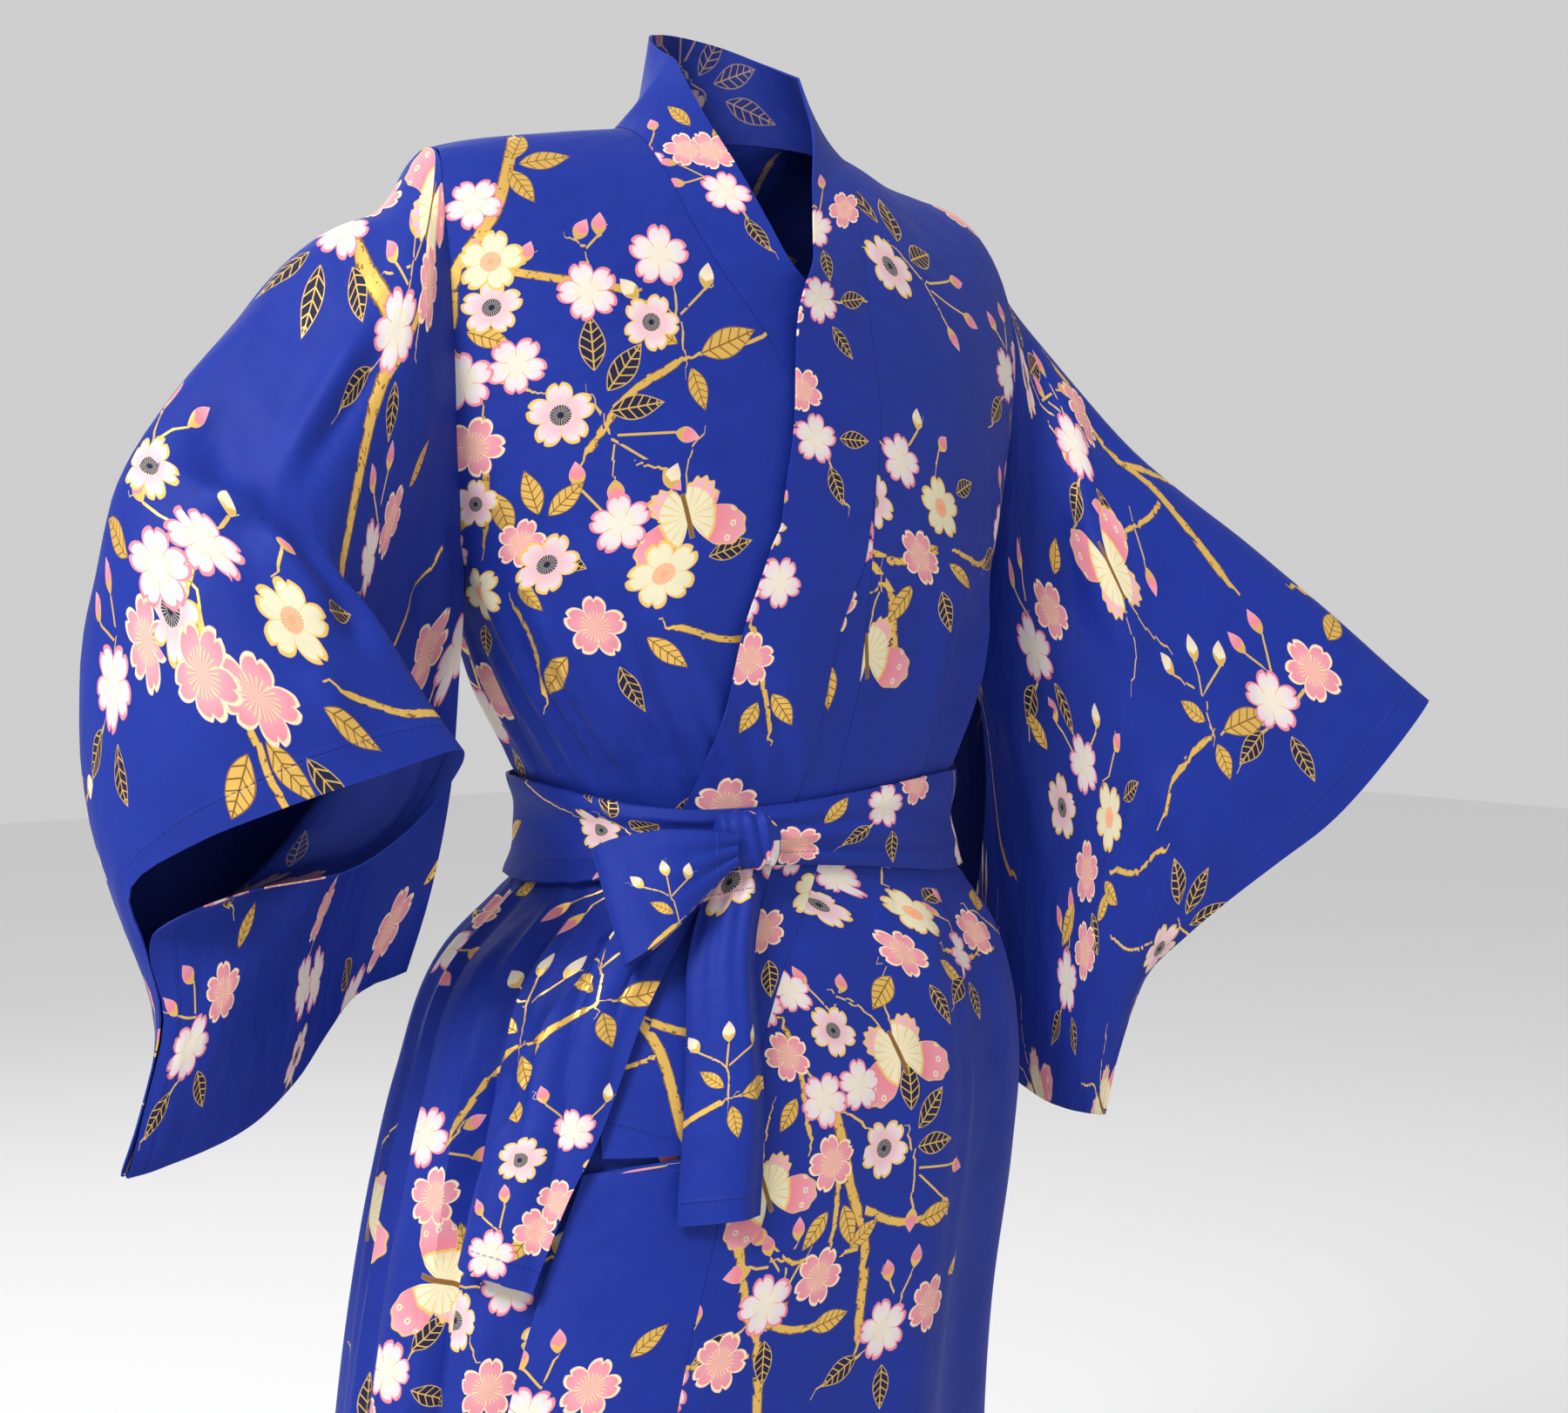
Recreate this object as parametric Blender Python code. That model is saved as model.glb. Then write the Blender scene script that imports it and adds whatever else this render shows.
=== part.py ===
# A worn kimono robe of printed cotton with its own narrow sash, as it stands on a figure with the
# right hand at the waist and the left arm held out.
# Metres. +Z is up, the front faces -Y and the wearer's left is +X. The origin is the middle of the
# neck's base, at the height where the neckband crosses the shoulders.
# Each piece of cloth is a thin wall: a middle surface worked out from the short tables below, moved
# half the cloth's thickness to either side and closed along its edges.

import math

import bpy
import numpy as np

CLOTH = 0.0015            # thickness of the cotton, with the give of a worn garment
BAND = 0.0018             # the neckband is cloth on cloth
SASH = 0.0022             # the sash is cloth folded double
SEAM = 0.0003             # gap left between two pieces at a seam
LAYER = 0.0032            # half the distance between the two fronts where they overlap
ROUND = 0.91              # power that squares a section a little, 1 is an ellipse

UNDERARM = -0.300         # height of the armhole's lower end
NECK_BACK = 0.67          # share of the back's depth left at the nape
SHOULDER = 0.288          # rise from the underarm to the side of the neck

# The body's sections below the underarm: half the width, the depth to the front and to the back, and
# how far the middle stands to the wearer's left.
SECTIONS = dict(
    height=(-1.33, -1.00, -0.86, -0.75, -0.66, -0.60, -0.52, -0.477, -0.445, -0.406, -0.36, -0.30),
    half=(0.224, 0.212, 0.208, 0.207, 0.209, 0.207, 0.186, 0.151, 0.141, 0.150, 0.171, 0.190),
    front=(0.166, 0.157, 0.152, 0.147, 0.143, 0.137, 0.122, 0.110, 0.107, 0.112, 0.120, 0.126),
    back=(0.182, 0.173, 0.170, 0.165, 0.160, 0.152, 0.126, 0.103, 0.099, 0.101, 0.103, 0.106),
    middle=(-0.056, -0.056, -0.052, -0.039, -0.020, -0.008, 0.000, 0.008, 0.010, 0.008, 0.002, -0.004),
)
# Above the underarm a level runs from 0 there to 1 on the shoulder's ridge.
CHEST = dict(
    level=(0.0, 0.2, 0.4, 0.6, 1.0),
    half=(0.190, 0.216, 0.236, 0.250, 0.260),
    middle=(-0.004, -0.006, -0.006, -0.005, -0.003),
)
# The shoulder's ridge, as its drop below the neck's side. The left shoulder is lower, its arm held out.
RIDGE = dict(
    side=(-0.27, -0.21, -0.13, -0.085, -0.05, 0.0, 0.05, 0.085, 0.115, 0.15, 0.19, 0.24),
    drop=(0.062, 0.038, 0.022, 0.015, 0.008, 0.003, 0.008, 0.017, 0.029, 0.036, 0.044, 0.078),
)
# The armhole's seam: its angle round the section from the centre front at each level.
ARMHOLE = dict(
    level=(0.0, 0.10, 0.25, 0.50, 0.75, 1.0),
    right=(90.0, 83.0, 75.0, 66.0, 60.0, 54.0),
    left=(90.0, 80.0, 68.0, 56.0, 46.5, 40.0),
)

# The neckband's seam on each front, as the distance to the wearer's left at each level. Levels below
# 0 are metres below the underarm.
LEFT_NECK = dict(
    level=(-0.34, -0.26, -0.20, -0.14, -0.089, -0.024, 0.0, 0.118, 0.235, 0.375, 0.60, 0.70, 0.85, 1.0),
    side=(-0.124, -0.088, -0.061, -0.034, -0.021, -0.011, -0.002, 0.016, 0.027, 0.030, 0.048, 0.060,
          0.074, 0.085),
)
RIGHT_NECK = dict(
    level=(-0.34, -0.26, -0.20, -0.14, -0.089, -0.024, 0.0, 0.118, 0.226, 0.333, 0.444, 0.553, 0.667, 1.0),
    side=(0.112, 0.080, 0.062, 0.047, 0.031, 0.011, 0.002, -0.016, -0.029, -0.046, -0.070, -0.084,
          -0.088, -0.086),
)
# The neckband's width on the front at each level. Above the crossing the band leaves the chest and
# stands round the neck.
BAND_WIDE = dict(
    level=(-0.32, -0.20, -0.10, 0.04, 0.235, 0.60),
    width=(0.054, 0.057, 0.061, 0.064, 0.064, 0.062),
)
BAND_END = -0.32          # level of the neckband's lower ends

# The gores: the angle of the seam to the body panel, and of the free front edge, at each height.
GORE = dict(
    height=(-1.33, -0.70, -0.60, -0.52, -0.44, -0.36, -0.26),
    seam=(26.0, 24.0, 20.0, 13.0, 5.0, -1.0, -5.0),
    edge=(57.0, 54.0, 47.0, 47.0, 47.0, 47.0, 47.0),
)
GORE_TIP = 0.08           # level of the gore's upper end

# Pleats and drape folds: the angle at the upper and lower end, the heights they run between, half
# the width in degrees, and how far they stand out (or in, below 0).
FOLDS = (
    dict(name="front pleat", top=17.0, low=19.0, high=-0.47, end=-1.40, half=11.0, out=0.009),
    dict(name="front valley", top=35.0, low=37.0, high=-0.48, end=-1.40, half=11.0, out=-0.005),
    dict(name="left front drape", top=52.0, low=56.0, high=-0.46, end=-1.40, half=12.0, out=0.009),
    dict(name="left valley", top=72.0, low=74.0, high=-0.47, end=-1.40, half=10.0, out=-0.005),
    dict(name="left side drape", top=92.0, low=92.0, high=-0.47, end=-1.40, half=10.0, out=0.004),
    dict(name="left back valley", top=108.0, low=106.0, high=-0.47, end=-1.40, half=8.0, out=-0.007),
    dict(name="left back drape", top=132.0, low=128.0, high=-0.46, end=-1.40, half=10.0, out=0.010),
    dict(name="back valley", top=158.0, low=156.0, high=-0.46, end=-1.40, half=9.0, out=-0.006),
    dict(name="back drape", top=182.0, low=184.0, high=-0.46, end=-1.40, half=10.0, out=0.008),
    dict(name="right back drape", top=222.0, low=226.0, high=-0.46, end=-1.40, half=10.0, out=0.009),
    dict(name="right back valley", top=244.0, low=246.0, high=-0.47, end=-1.40, half=8.0, out=-0.006),
    dict(name="right side pleat", top=276.0, low=268.0, high=-0.47, end=-1.15, half=6.0, out=0.009),
    dict(name="right side valley", top=286.0, low=280.0, high=-0.47, end=-1.15, half=5.0, out=-0.006),
    dict(name="right front pleat", top=297.0, low=291.0, high=-0.47, end=-1.10, half=5.0, out=0.008),
    dict(name="bust gather", top=352.0, low=348.0, high=-0.26, end=-0.43, half=10.0, out=0.0035),
    dict(name="bust gather left", top=32.0, low=14.0, high=-0.26, end=-0.43, half=9.0, out=0.006),
    dict(name="waist gather left", top=58.0, low=40.0, high=-0.28, end=-0.43, half=9.0, out=0.005),
    dict(name="waist gather right", top=322.0, low=334.0, high=-0.26, end=-0.43, half=10.0, out=0.0035),
    dict(name="right side gather", top=290.0, low=302.0, high=-0.28, end=-0.43, half=9.0, out=0.006),
    dict(name="back blouse", top=200.0, low=190.0, high=-0.24, end=-0.43, half=9.0, out=0.008),
    dict(name="back blouse left", top=150.0, low=162.0, high=-0.24, end=-0.43, half=9.0, out=0.007),
)
FOLD_FADE = 0.05          # length over which a fold grows from nothing at its ends

# The neckband's free edge round the neck, by the angle from the left side over the nape to the right.
COLLAR_TOP = dict(
    turn=(0.0, 30.0, 60.0, 90.0, 120.0, 150.0, 180.0),
    edge_x=(0.049, 0.045, 0.028, 0.0, -0.028, -0.043, -0.048),
    edge_y=(-0.016, 0.016, 0.038, 0.047, 0.038, 0.016, -0.014),
    edge_z=(0.030, 0.044, 0.056, 0.061, 0.057, 0.045, 0.030),
)
# The band's free edge between the side of the neck and the crossing.
LEFT_EDGE = dict(
    level=(0.375, 0.60, 0.70, 0.85, 1.0),
    x=(-0.026, 0.003, 0.016, 0.036, 0.049),
    y=(-0.122, -0.086, -0.070, -0.046, -0.016),
    z=(-0.126, -0.072, -0.048, -0.010, 0.030),
)
RIGHT_EDGE = dict(
    level=(0.333, 0.444, 0.553, 0.667, 0.84, 1.0),
    x=(-0.002, -0.024, -0.034, -0.040, -0.045, -0.048),
    y=(-0.113, -0.101, -0.088, -0.070, -0.036, -0.014),
    z=(-0.148, -0.108, -0.078, -0.048, -0.004, 0.030),
)

# The sleeves: one row for each section from the armhole to the wrist edge, with the places of nine
# lines that run along the sleeve. The lines are the top (the fold along the arm), the crown, the back
# layer's high, middle and low line, the bag's bottom fold, and the front layer's low, middle and high
# line. The wrist edge is open at its upper part and sewn from there to the bag's corner.
LINE_PLACES = (0.0, 0.12, 0.32, 0.55, 0.80, 1.0, 1.23, 1.48, 1.73)
RIGHT_SLEEVE = (
    ((-0.262, -0.035, -0.108), (-0.272, 0.005, -0.090), (-0.285, 0.055, -0.140), (-0.280, 0.065, -0.270),
     (-0.265, 0.050, -0.430), (-0.255, 0.030, -0.535), (-0.246, 0.012, -0.425), (-0.243, -0.012, -0.310),
     (-0.250, -0.052, -0.200)),
    ((-0.313, -0.045, -0.185), (-0.325, 0.000, -0.142), (-0.342, 0.048, -0.195), (-0.340, 0.060, -0.310),
     (-0.312, 0.047, -0.470), (-0.290, 0.024, -0.572), (-0.278, 0.010, -0.465), (-0.272, -0.014, -0.350),
     (-0.285, -0.052, -0.260)),
    ((-0.346, -0.052, -0.248), (-0.390, -0.005, -0.220), (-0.411, 0.030, -0.290), (-0.402, 0.050, -0.380),
     (-0.350, 0.040, -0.505), (-0.322, 0.016, -0.594), (-0.308, 0.002, -0.500), (-0.290, -0.018, -0.405),
     (-0.303, -0.055, -0.315)),
    ((-0.322, -0.075, -0.295), (-0.385, -0.048, -0.277), (-0.415, -0.010, -0.330), (-0.419, 0.025, -0.412),
     (-0.373, 0.030, -0.523), (-0.352, 0.010, -0.604), (-0.336, -0.006, -0.518), (-0.316, -0.008, -0.438),
     (-0.292, -0.066, -0.372)),
    ((-0.290, -0.090, -0.345), (-0.352, -0.084, -0.345), (-0.402, -0.050, -0.380), (-0.417, 0.002, -0.438),
     (-0.384, 0.015, -0.532), (-0.382, 0.005, -0.609), (-0.364, -0.008, -0.527), (-0.352, -0.004, -0.468),
     (-0.276, -0.048, -0.428)),
    ((-0.260, -0.100, -0.385), (-0.303, -0.100, -0.395), (-0.366, -0.075, -0.417), (-0.410, -0.010, -0.458),
     (-0.388, 0.000, -0.537), (-0.408, 0.000, -0.612), (-0.387, -0.004, -0.532), (-0.384, -0.013, -0.473),
     (-0.291, -0.052, -0.449)),
)
LEFT_SLEEVE = (
    ((0.236, -0.036, -0.122), (0.252, -0.008, -0.130), (0.264, 0.030, -0.210), (0.264, 0.040, -0.340),
     (0.250, 0.035, -0.490), (0.232, -0.002, -0.615), (0.222, -0.028, -0.500), (0.216, -0.050, -0.360),
     (0.223, -0.062, -0.220)),
    ((0.293, -0.081, -0.206), (0.309, -0.058, -0.212), (0.322, -0.016, -0.285), (0.316, 0.004, -0.405),
     (0.284, 0.005, -0.535), (0.246, -0.030, -0.642), (0.238, -0.058, -0.540), (0.256, -0.092, -0.405),
     (0.262, -0.106, -0.290)),
    ((0.351, -0.126, -0.266), (0.367, -0.104, -0.270), (0.368, -0.052, -0.350), (0.346, -0.028, -0.450),
     (0.300, -0.026, -0.560), (0.256, -0.048, -0.651), (0.254, -0.080, -0.560), (0.280, -0.112, -0.440),
     (0.305, -0.135, -0.345)),
    ((0.397, -0.162, -0.314), (0.410, -0.133, -0.325), (0.400, -0.084, -0.400), (0.362, -0.052, -0.480),
     (0.304, -0.052, -0.567), (0.265, -0.060, -0.654), (0.268, -0.090, -0.568), (0.300, -0.126, -0.466),
     (0.340, -0.158, -0.390)),
    ((0.431, -0.189, -0.353), (0.443, -0.156, -0.370), (0.422, -0.107, -0.440), (0.368, -0.071, -0.503),
     (0.299, -0.073, -0.570), (0.272, -0.067, -0.655), (0.279, -0.093, -0.571), (0.317, -0.132, -0.490),
     (0.368, -0.172, -0.426)),
    ((0.452, -0.205, -0.376), (0.463, -0.170, -0.398), (0.433, -0.122, -0.468), (0.363, -0.084, -0.519),
     (0.290, -0.089, -0.572), (0.276, -0.072, -0.655), (0.288, -0.091, -0.572), (0.331, -0.136, -0.508),
     (0.390, -0.179, -0.452)),
)
FOLD_OPEN = 0.009         # least distance between the bag's two layers
ARMHOLE_GAP = dict(left=0.0010, right=0.0006)    # the sleeve's start, off the body panel's edge
SEWN_FROM = dict(left=0.72, right=0.60)    # share of the wrist edge above its sewn part
# Where the free body edge of each sleeve hangs below the armhole: front and back layer, then the low
# corner.
RIGHT_FREE = ((-0.206, -0.014, -0.350), (-0.212, -0.008, -0.440), (-0.216, 0.030, -0.525),
              (-0.212, 0.042, -0.440), (-0.206, 0.028, -0.350))
LEFT_FREE = ((0.205, -0.018, -0.360), (0.214, -0.018, -0.460), (0.224, 0.018, -0.565),
             (0.220, 0.040, -0.460), (0.208, 0.028, -0.360))

# The sash.
SASH_HEIGHT = -0.445      # height of the middle of the band round the waist
SASH_WIDE = 0.064         # its width at the side and back
SASH_KNOT_WIDE = 0.036    # its width where it is gathered into the knot
KNOT_ANGLE = -29.0        # the knot's place round the waist
# The two tails, from the knot down: the height and the angle round the skirt of the middle line, the
# width, how far the edges stand off the skirt and how far the middle bulges.
LONG_TAIL = dict(
    height=(-0.4668, -0.480, -0.510, -0.540, -0.570, -0.600, -0.630, -0.657),
    angle=(-31.0, -30.0, -28.0, -26.0, -25.0, -24.5, -24.0, -23.5),
    width=(0.022, 0.028, 0.032, 0.034, 0.037, 0.040, 0.042, 0.043),
    off=(0.0125, 0.0125, 0.0105, 0.008, 0.006, 0.006, 0.006, 0.006),
    bulge=(0.005, 0.008, 0.011, 0.012, 0.012, 0.011, 0.009, 0.008),
)
SIDE_TAIL = dict(
    height=(-0.465, -0.488, -0.512, -0.534, -0.560, -0.590, -0.620, -0.652, -0.685),
    angle=(-40.0, -43.5, -46.0, -48.5, -51.0, -54.0, -57.0, -59.5, -62.0),
    width=(0.022, 0.036, 0.048, 0.055, 0.058, 0.060, 0.061, 0.061, 0.061),
    off=(0.008, 0.007, 0.006, 0.006, 0.006, 0.006, 0.007, 0.008, 0.009),
    bulge=(0.004, 0.005, 0.004, 0.003, 0.003, 0.003, 0.003, 0.002, 0.002),
)
# The loop of the bow: its middle line from the knot out and back, the half width upward along it, and
# how far it stands forward.
LOOP_ROOT = (-0.0832, -0.1198, -0.450)
LOOP_TIP = (-0.153, -0.090, -0.480)
LOOP = dict(
    run=(0.0, 0.15, 0.35, 0.60, 0.85, 0.97, 1.0, 0.96, 0.82, 0.60, 0.35, 0.12),
    half=(0.009, 0.014, 0.021, 0.029, 0.034, 0.035, 0.035, 0.035, 0.033, 0.028, 0.021, 0.013),
    ahead=(0.004, 0.006, 0.009, 0.0105, 0.0085, 0.005, 0.0, -0.0045, -0.0065, -0.006, -0.004, -0.0025),
)
LOOP_LEAN = (0.02, -0.42, -0.90)      # direction of the loop's width at its tip

COTTON = (0.010, 0.045, 0.420)


def spline(places, values, at):
    """Smooth curve through the values, with slopes from the neighbours on both sides."""
    places = np.asarray(places, float)
    values = np.asarray(values, float)
    at = np.clip(np.asarray(at, float), places[0], places[-1])
    flat = values.reshape(len(places), -1)
    steps = np.diff(places)[:, None]
    chords = np.diff(flat, axis=0) / steps
    slopes = np.vstack([chords[:1], (chords[:-1] * steps[1:] + chords[1:] * steps[:-1])
                        / (steps[1:] + steps[:-1]), chords[-1:]])
    cell = np.clip(np.searchsorted(places, at.ravel(), side="right") - 1, 0, len(places) - 2)
    width = steps[cell]
    t = ((at.ravel() - places[cell]) / width[:, 0])[:, None]
    curve = ((2 * t**3 - 3 * t**2 + 1) * flat[cell] + (t**3 - 2 * t**2 + t) * width * slopes[cell]
             + (3 * t**2 - 2 * t**3) * flat[cell + 1] + (t**3 - t**2) * width * slopes[cell + 1])
    return curve.reshape(at.shape + values.shape[1:])


def smooth(low, high, at):
    t = np.clip((np.asarray(at, float) - low) / (high - low), 0.0, 1.0)
    return t * t * (3 - 2 * t)


def column(table, name, at, key="height"):
    return spline(table[key], table[name], at)


def section(level):
    """Half width, front and back depth and middle at a level: metres below the underarm, or the
    share of the rise to the ridge above it."""
    low = np.minimum(level, 0.0) + UNDERARM
    up = np.maximum(level, 0.0)
    below = np.asarray(level) <= 0
    half = np.where(below, column(SECTIONS, "half", low), column(CHEST, "half", up, "level"))
    middle = np.where(below, column(SECTIONS, "middle", low), column(CHEST, "middle", up, "level"))
    return half, column(SECTIONS, "front", low), column(SECTIONS, "back", low), middle


def fold_out(angle, height):
    """How far the pleats and drape folds stand out at an angle and height."""
    total = np.zeros(np.broadcast(angle, height).shape)
    for fold in FOLDS:
        along = np.clip((fold["high"] - height) / (fold["high"] - fold["end"]), 0.0, 1.0)
        centre = fold["top"] + (fold["low"] - fold["top"]) * along
        away = (np.asarray(angle) - centre + 180.0) % 360.0 - 180.0
        grow = smooth(fold["high"], fold["high"] - FOLD_FADE, height)
        fade = smooth(fold["end"], fold["end"] + FOLD_FADE, height)
        total = total + fold["out"] * grow * fade * np.exp(-(away / fold["half"]) ** 2 * 2.0)
    return total


def form(angle, level, out=0.0):
    """Point of the robe's base surface. The angle runs from the centre front to the wearer's left."""
    angle, level, out = np.broadcast_arrays(np.asarray(angle, float), np.asarray(level, float), out)
    half, front, back, middle = section(level)
    sine, cosine = np.sin(np.radians(angle)), np.cos(np.radians(angle))
    across = np.sign(sine) * np.abs(sine) ** ROUND
    along = np.abs(cosine) ** ROUND
    up = np.clip(level, 0.0, 1.0)
    side = middle + half * across
    drop = column(RIDGE, "drop", side, "side")
    lean = np.cos(up * math.pi / 2)
    nape = 1 - smooth(0.0, 0.086, np.abs(side))
    steep = np.where(cosine < 0, nape, 0.0)
    rise = np.sin(up * math.pi / 2) * (1 - steep) + up * steep
    behind = lean + (1 - lean) * nape * NECK_BACK
    height = np.where(level <= 0, UNDERARM + level, UNDERARM + (SHOULDER + 0.012 - drop) * rise)
    wave = fold_out(angle, height)
    scale = 1 + (wave + out) / 0.17
    deep = np.where(cosine >= 0, -front * along * lean, back * along * behind)
    return np.stack([middle + (side - middle) * scale, deep * scale, height], -1)


def face_out(angle, level, out=0.0):
    """Direction square to the base surface, away from the body."""
    turn = form(np.asarray(angle) + 0.6, level, out) - form(np.asarray(angle) - 0.6, level, out)
    low = np.clip(np.asarray(level) - 0.012, None, 0.985)
    high = np.clip(np.asarray(level) + 0.012, None, 0.997)
    climb = form(angle, high, out) - form(angle, low, out)
    normal = np.cross(turn, climb)
    return normal / np.linalg.norm(normal, axis=-1, keepdims=True)


def layer_out(angle, outer):
    """The outer front lies off the base surface and the inner front within it, both fading to
    nothing before the side seams."""
    full = 1 - smooth(58.0, 80.0, np.abs(angle))
    return (LAYER if outer else -LAYER) * full


def side_angle(side, level):
    """Angle round the front at which the surface has this distance to the wearer's left."""
    half, _, _, middle = section(level)
    sine = np.clip((side - middle) / half, -1.0, 1.0)
    return np.degrees(np.arcsin(np.sign(sine) * np.abs(sine) ** (1 / ROUND)))


def neck_seam(level, left):
    table = LEFT_NECK if left else RIGHT_NECK
    return side_angle(column(table, "side", level, "level"), level)


def gore_seam(height, left):
    seam = column(GORE, "seam", height)
    return -seam if left else seam


def join(name, points, normals, thick, ring=False, kept=None):
    """A wall round a middle surface of rows and columns, closed at its edges. Cells that aren't kept
    are left out of the surface."""
    rows, columns = points.shape[:2]
    last = columns if ring else columns - 1
    if kept is None:
        kept = np.ones((rows - 1, last), bool)
    turned = grid_normals(points, ring)
    if np.sum((turned * normals)[1:-1]) < 0:
        points, normals, kept = points[::-1], normals[::-1], kept[::-1]
    outer, edges = [], set()
    for row in range(rows - 1):
        for place in range(last):
            if not kept[row, place]:
                continue
            after = (place + 1) % columns
            a, b = row * columns + place, row * columns + after
            c, d = (row + 1) * columns + after, (row + 1) * columns + place
            outer += [(a, b, c), (a, c, d)]
            edges |= {(a, b), (b, c), (c, d), (d, a)}
    shift = rows * columns
    faces = list(outer)
    for a, b, c in outer:
        faces.append((c + shift, b + shift, a + shift))
    for a, b in sorted(edges):
        if (b, a) not in edges:
            faces += [(b, a, a + shift), (b, a + shift, b + shift)]
    corners = np.concatenate([(points + normals * thick / 2).reshape(-1, 3),
                              (points - normals * thick / 2).reshape(-1, 3)])
    used = sorted({corner for face in faces for corner in face})
    place_of = {corner: place for place, corner in enumerate(used)}
    faces = [tuple(place_of[corner] for corner in face) for face in faces]
    return add(name, corners[used], faces, COTTON, 0.75)


def add(name, corners, faces, colour, rough):
    mesh = bpy.data.meshes.new(name)
    mesh.from_pydata([tuple(float(v) for v in corner) for corner in corners], [], faces)
    mesh.validate()
    mesh.shade_smooth()
    piece = bpy.data.objects.new(name, mesh)
    bpy.context.scene.collection.objects.link(piece)
    cloth = bpy.data.materials.new(name)
    cloth.use_nodes = True
    shader = cloth.node_tree.nodes["Principled BSDF"]
    shader.inputs["Base Color"].default_value = (*colour, 1.0)
    shader.inputs["Roughness"].default_value = rough
    shader.inputs["Metallic"].default_value = 0.0
    mesh.materials.append(cloth)
    return piece


def grid_normals(points, ring=False):
    """Directions square to a surface of rows and columns, each from the cells round the point."""
    after = np.roll(points, -1, axis=1)
    cells = np.cross(after[1:] - points[:-1], points[1:] - after[:-1])
    total = np.zeros_like(points)
    total[:-1] += cells
    total[1:] += cells
    if ring:
        total = total + np.roll(total, 1, axis=1)
    else:
        total[:, -1] = 0
        total[:, 1:] += total[:, :-1].copy()
    return total / np.maximum(np.linalg.norm(total, axis=-1, keepdims=True), 1e-15)


for thing in list(bpy.data.objects):
    bpy.data.objects.remove(thing, do_unlink=True)

SKIRT_LEVELS = np.array((-1.03, -0.86, -0.70, -0.57, -0.47, -0.39, -0.32, -0.26, -0.215, -0.177,
                         -0.145, -0.113, -0.06, 0.0))
CHEST_LEVELS = np.array((0.0, 0.15, 0.30, 0.45, 0.60, 0.74, 0.88, 1.0))
ACROSS = 16               # columns of a body panel at the back
NAPE = 3                  # the columns among them between the centre back and the neckband's side


def body_panel(left):
    """One length of cloth from the front hem over the shoulder to the back hem."""
    sign, side_name = (1, "left") if left else (-1, "right")
    share = np.linspace(0.0, 1.0, ACROSS - NAPE)
    behind = np.linspace(0.0, 1.0, ACROSS)
    seam_gap = math.degrees(SEAM / 2 / 0.2)
    rows = []
    normals = []
    kept = []

    def row(start, end, level, layered):
        angle = start + (end - start) * share
        if layered:
            angle = np.concatenate([np.full(NAPE, start), angle])
        else:
            middle = sign * (180 - seam_gap)
            even = middle + (end - middle) * behind
            beside = np.concatenate([middle + (start - middle) * np.arange(NAPE) / NAPE, angle])
            angle = even + (beside - even) * smooth(0.0, 0.6, level)
        out = layer_out(angle, left) if layered else 0.0
        rows.append(form(angle, level, out))
        normals.append(face_out(angle, level, out))
        kept.append(np.arange(ACROSS - 1) >= (NAPE if layered else 0))

    for level in SKIRT_LEVELS[:-1]:
        row(gore_seam(UNDERARM + level, left), sign * (90 - seam_gap), level, True)
    for level in CHEST_LEVELS:
        arm = sign * (column(ARMHOLE, side_name, level, "level") - seam_gap)
        start = neck_seam(level, left)
        if level < 0.1:
            start = gore_seam(UNDERARM, left)
        row(start, arm, level, True)
    for level in CHEST_LEVELS[::-1]:
        arm = sign * (180 - column(ARMHOLE, side_name, level, "level") + seam_gap)
        row(sign * 180 - neck_seam(1.0, left), arm, level, False)
    ridge = len(SKIRT_LEVELS) + len(CHEST_LEVELS) - 2
    rows[ridge] = np.concatenate([rows[ridge + 1][:NAPE], rows[ridge][NAPE:]])
    normals[ridge] = np.concatenate([normals[ridge + 1][:NAPE], normals[ridge][NAPE:]])
    del rows[ridge + 1], normals[ridge + 1], kept[ridge + 1]
    kept[ridge] = np.arange(ACROSS - 1) >= 0
    for level in SKIRT_LEVELS[-2::-1]:
        row(sign * 180, sign * (90 + seam_gap), level, False)
    name = "body_left" if left else "body_right"
    return join(name, np.array(rows), np.array(normals), CLOTH, kept=np.array(kept[:-1]))


def gore_rows():
    low = SKIRT_LEVELS[SKIRT_LEVELS < BAND_END - 0.001]
    high = SKIRT_LEVELS[SKIRT_LEVELS > BAND_END - 0.001]
    return np.concatenate([low, [BAND_END - 0.004], high, [GORE_TIP]])


def gore(left):
    """The front gore, from the hem to its tip under the neckband."""
    sign = 1 if left else -1
    gap = math.degrees(SEAM / 2 / 0.2)
    rows, normals = [], []
    for level in gore_rows():
        height = UNDERARM + level
        seam = gore_seam(UNDERARM + min(level, 0.0), left)
        if level > 0:
            above = neck_seam(CHEST_LEVELS[1], left)
            seam = seam + (above - seam) * level / CHEST_LEVELS[1]
        if level < BAND_END - 0.001:
            edge = -sign * column(GORE, "edge", height)
        else:
            edge = neck_seam(level, left) + sign * gap
        angle = np.linspace(edge, seam - 2 * sign * gap, 6)
        out = layer_out(angle, left)
        rows.append(form(angle, level, out))
        normals.append(face_out(angle, level, out))
    name = "okumi_left" if left else "okumi_right"
    return join(name, np.array(rows), np.array(normals), CLOTH)


def level_at(side, height):
    """Level at which the surface above or below the underarm has this height."""
    share = (height - UNDERARM) / (SHOULDER + 0.012 - column(RIDGE, "drop", side, "side"))
    above = 2 / math.pi * np.arcsin(np.clip(share, 0.0, 1.0))
    return np.where(height < UNDERARM, height - UNDERARM, above)


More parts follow.
